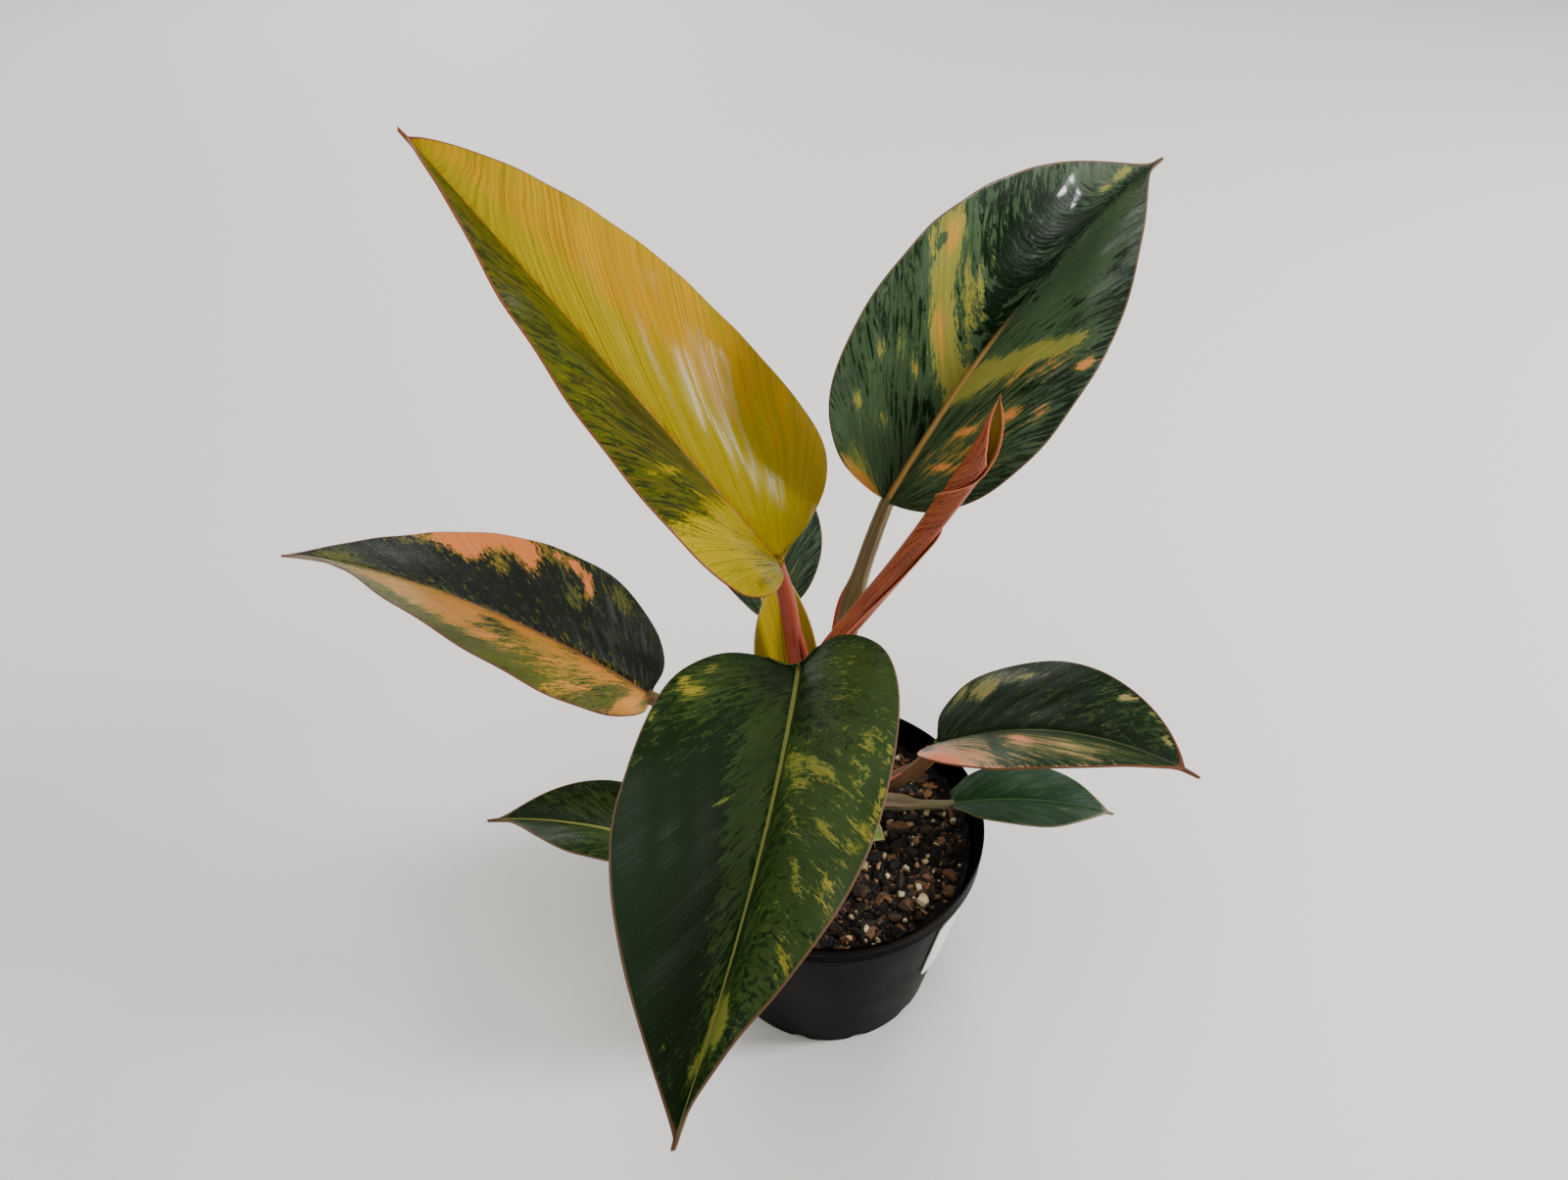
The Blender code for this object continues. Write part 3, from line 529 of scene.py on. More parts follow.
def bent(leaf, x, y):
    # Flat points on the bent leaf: each side rises by its fold and curls evenly over its half width
    u = x / leaf["length"]
    middle, ahead, above = midrib(leaf, u)
    left = np.cross(above, ahead)
    fold = np.radians(sided(leaf["fold"], y)) + radians(leaf["twist"]) * (np.clip(u, 0, 1) - 0.5)
    rate = np.radians(sided(leaf["curl"], y)) / sided(leaf["half"], y)
    rate = np.where(np.abs(rate) < blade["flattest"], blade["flattest"], rate)
    out = np.abs(y)
    across = (np.sin(fold + rate * out) - np.sin(fold)) / rate * np.sign(y)
    high = (np.cos(fold) - np.cos(fold + rate * out)) / rate
    return middle + across[:, None] * left + high[:, None] * above


def rowPlaces(leaf, count, sinus):
    # Row places spread so that steps along the midrib and the margin together are even
    q = np.linspace(0, 1, blade["rowSteps"])
    edgeX, edgeY = margin(q, leaf, sinus / leaf["half"][0])
    edge = np.hypot(np.diff(edgeX * leaf["length"]), np.diff(edgeY * leaf["half"][0]))
    rib = np.diff(q ** blade["veinLag"]) * leaf["length"]
    gone = np.concatenate([[0], np.cumsum(edge + rib)])
    return np.interp(np.linspace(0, gone[-1], count), gone, q)


def markFields(leaf, q, v):
    # How pale, warm and light green each point is: each mark is e to the minus distance to the
    # power hardness, from a soft bell at 2 to a patch with a clear edge at 10
    fields = np.stack([np.full(q.shape, float(leaf[key])) for key in ("pale", "warm", "mid")])
    for mark in leaf["marks"]:
        along, across, sizeAlong, sizeAcross, *adds, hardness = (*mark, *(0, 2)[len(mark) - 6:])
        away = np.abs((q - along) / sizeAlong) ** hardness + np.abs((v - across) / sizeAcross) ** hardness
        fields += np.array(adds)[:, None, None] * np.exp(-away)
    return np.clip(fields[0], -0.3, 1.3), np.clip(fields[1], -0.2, 1), fields[2]


def sheet(name, leaf, build):
    # The blade as a closed sheet: rows run along the side veins, from the midrib at v = 0 to the
    # margins at v = 1 and -1, and the upper and lower faces meet in a rounded rim
    rows, columns, relief, thin = build["rows"], build["columns"], build["relief"], blade["thin"]
    q = rowPlaces(leaf, rows, build["sinus"])[:, None]
    t = np.linspace(-1, 1, columns)[None, :]
    q, v = np.broadcast_arrays(q, t - blade["crowding"] * np.sin(2 * pi * t))
    half = sided(leaf["half"], v)
    edgeX, edgeY = margin(q, leaf, build["sinus"] / half)
    ribX = q ** blade["veinLag"]
    x = (ribX + (edgeX - ribX) * np.abs(v) ** blade["veinSweep"]) * leaf["length"]
    y = edgeY * half * v
    points = bent(leaf, x.ravel(), y.ravel()).reshape(rows, columns, 3)
    normal = np.cross(np.gradient(points, axis=0), np.gradient(points, axis=1))
    normal[-2:] = normal[-3]
    normal = unit(normal)

    atBase, atTip = (sided(pair, v) for pair in zip(*leaf["veins"]))
    lean = (atBase * (1 - q) + atTip * q) * np.clip(np.minimum(q, 1 - q) / blade["lineEnds"], 0, 1)
    veinAcross = (q + lean * (1 - np.abs(v)) ** blade["lineBend"]) * leaf["length"] * blade["lineStretch"]
    u = np.clip(x / leaf["length"], 0, 1)
    quilt = np.abs(np.sin(pi * veinAcross / blade["quiltPitch"])) - blade["quiltLevel"]
    quilted = np.sin(pi * np.clip(np.abs(v), blade["quiltLeast"], 1) ** blade["quiltPeak"])
    places = np.stack([x, y * blade["wanderStretch"]], -1)
    wander = waves(places, blade["wanderWaves"], blade["wanderPitch"], sum(map(ord, name)))
    wander = wander * blade["wander"] * np.clip(np.abs(v) * blade["wanderStart"], 0, 1)
    swell = (quilt * quilted * blade["quilt"] + wander) * np.clip(edgeY * blade["swellStart"], 0, 1) * relief
    narrower = 1 - blade["thinning"] * u
    wide, change = blade["grooveTaper"]
    grooveWidth = blade["grooveWidth"] * (wide + change * u)
    groove = blade["groove"] * narrower * bump(y, 0, grooveWidth) * relief
    thickness = thin + (build["rib"] - thin) * narrower * bump(y, 0, blade["ribWidth"])
    top = points + normal * (swell - groove)[..., None]
    bottom = points + normal * (swell - thickness)[..., None]
    bottom[-1] = top[-1]
    rims = []
    for end, inward in ((-1, -2), (0, 1)):
        outward = unit(points[:, end] - points[:, inward]) * thin * blade["rimOut"]
        rim = (top[:, end] + bottom[:, end]) / 2 + outward
        rim[-1] = top[-1, 0]
        rims.append(rim[:, None])
    loop = allRound(top, rims[0], bottom, rims[1])

    pale, warm, mid = markFields(leaf, q, v)
    mottle = np.interp(v, (-blade["mottleFade"], blade["mottleFade"]), leaf["mottle"][::-1])
    fromEdge = (1 - np.abs(v)) * edgeY * half
    return loop, sheetFaces(rows, columns, lastClosed=False), {
        "vein": withUnderside(veinAcross, v * half, u),
        "flat": allRound(np.stack(np.broadcast_arrays(x, y, fromEdge, 1.0), -1)),
        "marks": allRound(np.stack([pale, warm, mottle, mid], -1)),
    }


# The looks of the blades: colours of the tissues from dark green to warm, then of the fine lines,
# the midrib, the rim and the underside. veinDepth is how strong the lines are, shine and roughness
# are the skin's, and coat and coatRoughness the wax film's. The coloured midrib is ribWidth wide
# at the base and fades out at ribEnd, a share of the length. relief is the bump's depth, ripple how
# strong its broad ripples are, and grain and hair how short the flecks and streaks are.

commonLook = dict(coatRoughness=0.2, ribEnd=1.2, relief=0.00006, ripple=1.6, grain=180, hair=110)
leafLooks = {
    "yellow": dict(
        commonLook, dark=(26, 42, 4), mid=(78, 88, 6), pale=(176, 154, 0), rich=(202, 150, 0),
        warm=(216, 134, 40), line=(112, 88, 0), rib=(176, 106, 40), edge=(140, 74, 44),
        under=(140, 118, 34), veinDepth=0.42, shine=0.05, roughness=0.38, coat=0.22,
        ribWidth=0.0006, relief=0.00018, ripple=4.6,
    ),
    "dark": dict(
        commonLook, dark=(12, 34, 12), mid=(72, 95, 64), pale=(150, 147, 64), rich=(202, 152, 60),
        warm=(230, 146, 74), line=(8, 22, 8), rib=(192, 152, 84), edge=(100, 76, 54),
        under=(74, 84, 46), veinDepth=0.18, shine=0.1, roughness=0.27, coat=0.25, coatRoughness=0.07,
        ribWidth=0.0013, ribEnd=0.46, relief=0.00009, ripple=2.1, grain=120, hair=170,
    ),
    "green": dict(
        commonLook, dark=(14, 36, 6), mid=(52, 74, 28), pale=(126, 130, 50), rich=(160, 142, 46),
        warm=(196, 142, 56), line=(10, 26, 4), rib=(142, 144, 72), edge=(104, 74, 52),
        under=(80, 92, 46), veinDepth=0.14, shine=0.14, roughness=0.38, coat=0.08,
        ribWidth=0.0007, grain=240, hair=180,
    ),
    "coral": dict(
        commonLook, dark=(6, 20, 6), mid=(94, 100, 14), pale=(202, 156, 48), rich=(222, 146, 56),
        warm=(255, 146, 72), line=(40, 40, 6), rib=(160, 104, 66), edge=(124, 74, 52),
        under=(120, 104, 60), veinDepth=0.16, shine=0.2, roughness=0.28, coat=0.12,
        coatRoughness=0.14, ribWidth=0.0006, relief=0.00010, ripple=2.4, grain=320, hair=280,
    ),
    "blush": dict(
        commonLook, dark=(18, 36, 15), mid=(54, 74, 40), pale=(152, 146, 86), rich=(200, 146, 98),
        warm=(234, 132, 92), line=(12, 26, 10), rib=(86, 92, 56), edge=(116, 70, 48),
        under=(110, 104, 64), veinDepth=0.12, shine=0.12, roughness=0.36, coat=0.06,
        ribWidth=0.0005, ripple=0.9, grain=240, hair=200,
    ),
    "plain": dict(
        commonLook, dark=(22, 55, 27), mid=(42, 76, 40), pale=(130, 146, 76), rich=(160, 150, 80),
        warm=(200, 150, 84), line=(12, 34, 12), rib=(62, 88, 48), edge=(110, 100, 70),
        under=(84, 104, 56), veinDepth=0.12, shine=0.2, roughness=0.36, coat=0.12, ribWidth=0.0004,
    ),
}
driftNoise = ((60, 45, 0), 2, 0.5)
leafNoises = dict(
    # scale across the side veins, scale along them or its name in the look, detail, roughness, distortion
    patch=(230, 70, 3, 0.6, 0.4), streak=(1150, "hair", 4, 0.65, 0.3), crumb=(1900, 700, 4, 0.75, 0.5),
    fleck=(640, "grain", 5, 0.75, 0.8), fibre=(1250, 13, 2, 0.6, 0), ripple=(430, 14, 3, 0.6, 0),
)
tissue = dict(
    # between which two values a field turns one tissue or mark into the next
    lighter=(0.44, 0.58), cloud=(0.35, 0.65), rich=(0.10, 0.50), warm=(0.60, 0.85), half=(0.47, 0.52),
    full=(0.55, 0.60), line=(0.2, 0.95), fibre=(0.42, 0.72), rib=(1.2, 0.75), edge=(1.5, 0.5),
    film=(0.43, 0.60),
    # how strong the noises are in the edges of the marks, in the lines and in the film
    drift=0.0022, waver=4.0, streaks=0.38, patches=0.28, crumbs=0.34, broken=2.2, mottled=9.0,
    halfTone=1.6, lightTone=2.2, lightByPale=0.35, warmPatches=0.9, warmStreaks=0.6, cloudy=0.3,
    lineFibre=0.45, ribShare=0.9, ribFade=0.15, edgeWidth=0.0001, edgeDrift=0.0002, underShare=0.55,
    fleckGloss=0.16, underGloss=0.2, filmRange=(0.2, 1.4), fibreRise=1.6, crumbRise=0.5, lineRise=-0.3,
)


def leafMaterial(name, look):
    # Green, half green, pale and warm tissue are steps of one field: the marks, broken up by
    # noise that is long along the side veins and short across them
    material, shader = newMaterial(name, {
        "Coat Roughness": look["coatRoughness"], "Specular IOR Level": look["shine"],
        "Subsurface Weight": 0.05, "Subsurface Radius": (0.6, 0.5, 0.1), "Subsurface Scale": 0.0010,
    })
    across, along, u, vein, below = attribute(shader, "vein")
    _, beside, fromEdge, *_ = attribute(shader, "flat")
    paleness, warmth, mottle, _, lighter = attribute(shader, "marks")

    drift = noise(vein, *driftNoise)
    across = times(drift, tissue["drift"], across)
    place = put("CombineXYZ", {0: across, 1: along}).outputs[0]
    patch, streak, crumb, fleck, fibre, ripple = (
        noise(place, (over, look.get(down, down), 0), *rest) for over, down, *rest in leafNoises.values()
    )
    turn = times(fibre, tissue["waver"], times(across, 2 * pi / blade["linePitch"]))
    lines = step(maths("SINE", turn), *tissue["line"])
    broken = times(crumb, tissue["crumbs"], times(streak, tissue["streaks"], times(patch, tissue["patches"])))
    broken = swing(broken, times(mottle, tissue["mottled"], tissue["broken"]), paleness)
    halved = swing(fleck, tissue["halfTone"], broken)

    lighter = swing(fleck, tissue["lightTone"], times(paleness, tissue["lightByPale"], lighter))
    green = mixed(step(lighter, *tissue["lighter"]), look["dark"], look["mid"])
    green = mixed(step(drift, *tissue["cloud"], 0.0, tissue["cloudy"]), green, look["dark"])
    warmth = swing(streak, tissue["warmStreaks"], swing(patch, tissue["warmPatches"], warmth))
    pale = mixed(step(warmth, *tissue["rich"]), look["pale"], look["rich"])
    pale = mixed(step(warmth, *tissue["warm"]), pale, look["warm"])
    color = mixed(step(halved, *tissue["half"]), green, mixed(0.5, look["mid"], pale))
    color = mixed(step(broken, *tissue["full"]), color, pale)
    tint = times(lines, tissue["lineFibre"], step(fibre, *tissue["fibre"]))
    color = mixed(times(tint, look["veinDepth"]), color, look["line"])

    width = times(u, -blade["thinning"] * look["ribWidth"], look["ribWidth"])
    onRib = step(maths("DIVIDE", maths("ABSOLUTE", beside), width), *tissue["rib"])
    ribLasts = step(u, look["ribEnd"], look["ribEnd"] - tissue["ribFade"], 0.0, tissue["ribShare"])
    color = mixed(times(onRib, ribLasts), color, look["rib"])
    edgeWidth = times(drift, tissue["edgeDrift"], tissue["edgeWidth"])
    color = mixed(step(maths("DIVIDE", fromEdge, edgeWidth), *tissue["edge"]), color, look["edge"])
    color = mixed(below, color, mixed(tissue["underShare"], color, look["under"]))

    height = times(fibre, tissue["fibreRise"], times(crumb, tissue["crumbRise"] * look["ripple"]))
    height = times(ripple, look["ripple"], times(lines, tissue["lineRise"], height))
    film = times(maths("ADD", fibre, ripple), 0.5)
    film = step(film, *tissue["film"], *(share * look["coat"] for share in tissue["filmRange"]))
    gloss = times(below, tissue["underGloss"], swing(fleck, tissue["fleckGloss"], look["roughness"]))
    finished(shader, color, height, look["relief"], **{"Roughness": gloss, "Coat Weight": film})
    return material


def addBlade(piece, name, leaf, build, material, node):
    addPiece(piece, makeMesh(piece, *sheet(name, leaf, build)), material, [node])


for name, leaf in leaves.items():
    build = sheets["small" if leaf["length"] < blade["smallLeaf"] else "large"]
    material = leafMaterial("leaf " + name, leafLooks[leaf["look"]])
    addBlade("leaf_" + name, name, leaf, build, material, "blade_" + name)
print("blades:", len(leaves))


# Main stem: a green column with knuckles, ring scars and corky brown patches. Its lower end stands
# in the hole of the mix.

stem = dict(
    radius=0.0055, path=[(0, 0, 0.0573), (0, 0, 0.072), (-0.001, 0.004, 0.095), (-0.0035, 0.0105, 0.128)],
    knuckles=5, knuckle=0.04, wide=0.96, narrowing=0.12, ribs=0.012, ribCount=7, ribTwist=9,
    rows=90, around=48, span=0.002, green=(84, 92, 44), relief=0.0003,
    cork=(112, 76, 48), corkEdge=(0.45, 0.6), scar=(88, 60, 42), scarEdge=(0.80, 0.97),
    shader={"Roughness": 0.5, "Coat Weight": 0.1, "Coat Roughness": 0.3},
    noises=dict(patch=((260, 260, 130), 4, 0.65, 0.3)),
)
stemLine = curveThrough(stem["path"], 60)


def stemAt(height):
    return readOff(height, stemLine[:, 2], stemLine)


def stemRadius(share):  # narrower upwards, with a slight knuckle at each of its nodes
    knuckle = 1 + stem["knuckle"] * np.cos(share * 2 * pi * stem["knuckles"])
    return stem["radius"] * knuckle * (stem["wide"] - stem["narrowing"] * share)


def seat(height, azimuth):
    # The place two gaps off the stem's side at that height, and the way out of it
    lean = unit(stemAt(height + stem["span"]) - stemAt(height - stem["span"]))
    out = np.array([cos(radians(azimuth)), sin(radians(azimuth)), 0])
    out = unit(out - lean * (out @ lean))
    low, high = stem["path"][0][2], stem["path"][-1][2]
    return stemAt(height) + out * (stemRadius((height - low) / (high - low)) + gap * 2), out


def stemMaterial():
    material, shader = newMaterial("green stem", stem["shader"])
    patch = placeNoises(shader, stem["noises"])["patch"]
    scar = step(attribute(shader, "stalk")[2], *stem["scarEdge"])
    color = mixed(step(patch, *stem["corkEdge"]), stem["green"], stem["cork"])
    color = mixed(scar, color, stem["scar"])
    finished(shader, color, maths("ADD", patch, scar), stem["relief"])
    return material


def addStem():
    path = curveThrough(stem["path"], stem["rows"])
    share, angle = np.linspace(0, 1, len(path))[:, None], anglesRound(stem["around"])
    ring = np.cos(share * 2 * pi * stem["knuckles"])
    ribs = stem["ribs"] * np.cos(angle * stem["ribCount"] + share * stem["ribTwist"])
    size = stemRadius(share) * (1 + ribs)
    rings = carried(path, (0, -1, 0), size * np.cos(angle), size * np.sin(angle))
    fields = (share, angle / (2 * pi), ring * 0.5 + 0.5, 0.0)
    addTube("stem_column", rings, fields, stemMaterial(), ["main_stem"])


# Stalks
# A stalk runs from two gaps off the stem's side to just under the blade. Its lower part is a
# sheath: an upper groove between two wings, each a bell of the angle round the section.

stalk = dict(
    rows=110, around=56, straight=0.0018, sheathSharp=30, sheathStart=0.15, neckShare=0.8, narrowing=0.12,
    grooveDepth=0.62, grooveWidth=0.42, grooveAbove=0.12, wingAngle=0.88, wingWidth=0.20, wingRise=0.34,
    neck=-0.0011, ridges=13, ridge=0.02, ridgeTwist=2, relief=0.0002, blotchRise=0.3,
    fibreEdge=(0.46, 0.60), blotchEdge=(0.55, 0.75, 0.35), wingEdge=(0.40, 0.65),
    shader={
        "Roughness": 0.42, "Specular IOR Level": 0.25, "Coat Weight": 0.1, "Coat Roughness": 0.2,
        "Subsurface Weight": 0.05, "Subsurface Radius": (0.8, 0.4, 0.2), "Subsurface Scale": 0.001,
    },
    noises=dict(blotch=(220, 3, 0.6, 0.4)), fibre=((5, 5, 1.6), 4, 0.6, 0.15),
)
stalkColors = {
    # main, stripe, wing edge, inside of the sheath, amount of stripes
    "upper_left": ((152, 52, 28), (172, 84, 50), (160, 58, 42), (90, 20, 14), 0.5),
    "upper_right": ((94, 86, 54), (146, 116, 84), (166, 58, 44), (110, 96, 52), 0.9),
    "front": ((128, 66, 44), (154, 102, 70), (170, 78, 60), (100, 46, 32), 0.6),
    "left": ((108, 82, 50), (148, 114, 76), (160, 82, 62), (106, 78, 42), 0.7),
    "right": ((110, 80, 52), (146, 110, 78), (206, 110, 92), (116, 62, 42), 0.7),
    "right_small": ((104, 98, 66), (130, 118, 84), (120, 92, 72), (92, 72, 56), 0.6),
    "left_small": ((104, 110, 66), (136, 136, 92), (164, 122, 98), (104, 84, 58), 0.5),
    "back": ((96, 102, 58), (134, 128, 84), (162, 100, 78), (104, 88, 50), 0.6),
}


def between(start, leaving, points, end, arriving, count):
    # A smooth path that leaves and arrives straight
    bends = [start + leaving * stalk["straight"], *points, end - arriving * stalk["straight"]]
    return np.vstack([start, curveThrough(bends, count - 2), end])


def stalkMaterial(name, main, stripe, wing, inside, stripes):
    material, shader = newMaterial(name, stalk["shader"])
    along, turn, onWing, _, inGroove = attribute(shader, "stalk")
    turn = times(turn, 2 * pi)
    ring = put("CombineXYZ", {0: maths("COSINE", turn), 1: maths("SINE", turn), 2: along}).outputs[0]
    fields = {**placeNoises(shader, stalk["noises"]), "fibre": noise(ring, *stalk["fibre"])}
    layers = [("fibre", *stalk["fibreEdge"], stripes, stripe), ("blotch", *stalk["blotchEdge"], inside)]
    color = layered(main, fields, layers)
    color = mixed(inGroove, color, inside)
    color = mixed(step(onWing, *stalk["wingEdge"]), color, wing)
    finished(shader, color, times(fields["blotch"], stalk["blotchRise"], fields["fibre"]), stalk["relief"])
    return material


def addStalk(name, leaf):
    foot, out = seat(leaf["attach"], leaf["azimuth"])
    _, ahead, above = (part[0] for part in midrib(leaf, np.zeros(1)))
    radius = leaf["stalkRadius"]
    neck = np.array(leaf["base"]) - ahead * (gap + stalk["neck"]) - above * radius * leaf["neckDrop"]
    path = between(foot, out, leaf["stalk"], neck, ahead, stalk["rows"])
    sheathEnd, wide = leaf["wing"]
    share, angle = np.linspace(0, 1, len(path))[:, None], anglesRound(stalk["around"])
    sheath = 1 / (1 + np.exp((share - sheathEnd) * stalk["sheathSharp"]))
    sheath = sheath * np.clip(share / stalk["sheathStart"], 0, 1)
    atNeck = np.clip((share - stalk["neckShare"]) / (1 - stalk["neckShare"]), 0, 1)
    groove = bump(angle, pi / 2, stalk["grooveWidth"])
    wings = sum(bump(angle, pi / 2 + side * stalk["wingAngle"], stalk["wingWidth"]) for side in (-1, 1))
    fibres = 1 + stalk["ridge"] * np.cos(angle * stalk["ridges"] + stalk["ridgeTwist"] * share)
    size = fibres + sheath * (stalk["wingRise"] * wings - stalk["grooveDepth"] * groove)
    size = size * radius * (1 - stalk["narrowing"] * atNeck)
    size = size * (1 - stalk["grooveAbove"] * (1 - sheath) * groove)
    across = size * np.cos(angle) * (1 + (wide - 1) * sheath)
    rings = carried(path, above, across, size * np.sin(angle))
    fields = (share, angle / (2 * pi), sheath * wings, sheath * groove)
    material = stalkMaterial("stalk " + name, *stalkColors[name])
    addTube("stalk_" + name, rings, fields, material, ["petiole_" + name])


for name, leaf in leaves.items():
    addStalk(name, leaf)
print("stalks:", len(leaves))
addStem()
print("stem ready")


# Rolled new leaf
# A sheet wound round its own length. At each step along it the sheet starts at its outer margin,
# goes round the back by so many turns, and each turn lies a little nearer the middle. The
# turns run out towards the tip, which leaves an open mouth. turns, seam and size are stops of
# (share of the length, value), and seam is the angle of the outer margin in degrees.

rolled = dict(
    path=[
        (-0.0015, 0.0163, 0.137), (0.0095, 0.0165, 0.1555), (0.0201, 0.0152, 0.1745),
        (0.0298, 0.0136, 0.194), (0.0385, 0.0122, 0.2135), (0.0409, 0.0126, 0.221),
    ],
    tip=(0.0426, 0.0152, 0.231), radius=0.0036, rows=170, columns=120, thickness=0.00042,
    standOff=0.0001, nearer=0.15, marginLift=0.14, marginWidth=0.02, margins=(0.022, 0.05),
    mouth=(0.97, 1.0, 0.6), thickest=0.4, hollow=0.1, rimTurn=0.5, upright=(0, -1, 0.3), veinRise=0.25,
    turns=[(0, 1.9), (0.74, 1.7), (0.80, 1.25), (0.86, 0.80), (0.93, 0.62), (1, 0.5)],
    seam=[
        (0, 104), (0.28, 84), (0.42, 62), (0.54, 42), (0.60, 8), (0.66, -110), (0.72, -206), (0.77, -268),
        (0.82, -336), (0.88, -360), (1, -370),
    ],
    size=[
        (0, 0.82), (0.05, 0.90), (0.5, 0.98), (0.8, 1.0), (0.87, 0.98), (0.93, 0.72), (0.97, 0.40), (1, 0.02),
    ],
    # The lighter pink along the margins and at the tip is partly the leaf's own pink and partly a painted
    # highlight on the edges
    outside=(170, 86, 50), edgeTintAndHighlight=(204, 112, 84), tintAndHighlightStep=(0.55, 0.9), inside=(150, 120, 20),
    fibre=((7, 44, 0), 4, 0.6, 0.3), streak=((9, 120, 0), 3, 0.6, 0.4), veinSlant=(46, 22), relief=0.00012,
    layers=[
        ("fibre", 0.40, 0.60, 1.0, (108, 38, 22)), ("streak", 0.5, 0.68, 0.6, (120, 92, 44)),
        ("veins", 0.4, 1.0, 0.4, (204, 112, 84)),
    ],
    insideLayers=[("fibre", 0.35, 0.65, 1.0, (122, 92, 28))],
    shader={
        "Roughness": 0.40, "Specular IOR Level": 0.2, "Coat Weight": 0.06, "Coat Roughness": 0.2,
        "Subsurface Weight": 0.08, "Subsurface Radius": (0.9, 0.4, 0.2), "Subsurface Scale": 0.001,
    },
)


def softly(share, stops):  # values at given shares, joined by soft steps
    places, values = np.array(stops, float).T
    fine = np.linspace(0, 1, 400)
    line = np.interp(fine, places, values)
    window = np.hanning(33) / np.hanning(33).sum()
    line = np.convolve(np.pad(line, 16, "edge"), window, "valid")
    return np.interp(share, fine, line)


def rollMaterial():
    material, shader = newMaterial("red rolled leaf", rolled["shader"])
    along, turn, marginTintAndHighlight, vector, underneath = attribute(shader, "stalk")
    fields = {key: noise(vector, *rolled[key]) for key in ("fibre", "streak")}
    slant = times(along, rolled["veinSlant"][0], times(turn, rolled["veinSlant"][1]))
    fields["veins"] = maths("SINE", times(maths("ADD", slant, fields["fibre"]), 2 * pi))
    color = layered(rolled["outside"], fields, rolled["layers"])
    color = mixed(underneath, color, layered(rolled["inside"], fields, rolled["insideLayers"]))
    # A lighter pink along the margins and at the tip: partly the leaf's own colour, partly a painted edge
    # highlight
    color = mixed(step(marginTintAndHighlight, *rolled["tintAndHighlightStep"]), color, rolled["edgeTintAndHighlight"])
    finished(shader, color, times(fields["veins"], rolled["veinRise"], fields["fibre"]), rolled["relief"])
    return material


def addRoll():
    ahead = unit(stemLine[-1] - stemLine[-2])
    foot, tip = stemLine[-1] + ahead * (gap + rolled["standOff"]), np.array(rolled["tip"])
    rising = unit(tip - np.array(rolled["path"][-1]))
    rows, columns = rolled["rows"], rolled["columns"]
    path = between(foot, ahead, rolled["path"], tip, rising, rows)
    u, w = np.linspace(0, 1, rows)[:, None], np.linspace(0, 1, columns)[None, :]
    turns = softly(u, rolled["turns"])
    angle = np.radians(softly(u, rolled["seam"])) - 2 * pi * turns * w
    size = rolled["radius"] * np.interp(u, *np.array(rolled["size"]).T)
    lift = 1 + rolled["marginLift"] * bump(w, 0, rolled["marginWidth"])
    outer = size * (1 - rolled["nearer"] * turns * w) * lift
    thickness = np.minimum(rolled["thickness"], size * rolled["thickest"])
    inner = np.maximum(outer - thickness, size * rolled["hollow"])
    middle = (outer + inner) / 2
    rimTurn = thickness / np.maximum(size, 1e-4) * rolled["rimTurn"]

    def wound(radius, turn):
        return carried(path, rolled["upright"], radius * np.cos(turn), radius * np.sin(turn))

    loop = allRound(
        wound(outer, angle), wound(middle[:, -1:], angle[:, -1:] - rimTurn),
        wound(inner, angle), wound(middle[:, :1], angle[:, :1] + rimTurn),
    )
    # The band of lighter pink along both margins and over the tip, partly the leaf's own colour and partly a
    # painted edge highlight
    (first, last), (low, high, share) = rolled["margins"], rolled["mouth"]
    edge = np.maximum(np.maximum(bump(w, 0, first), bump(w, 1, last)), smoothStep(u, low, high) * share)
    fields = {"stalk": withUnderside(u, w * turns, edge)}
    data = makeMesh("rolled_leaf", loop, sheetFaces(rows, columns), fields)
    addPiece("rolled_leaf", data, rollMaterial(), ["new_leaf_roll"])


addRoll()
print("rolled leaf ready")


# Bract and sprout: small blades with no stalk, whose narrow base starts at the stem

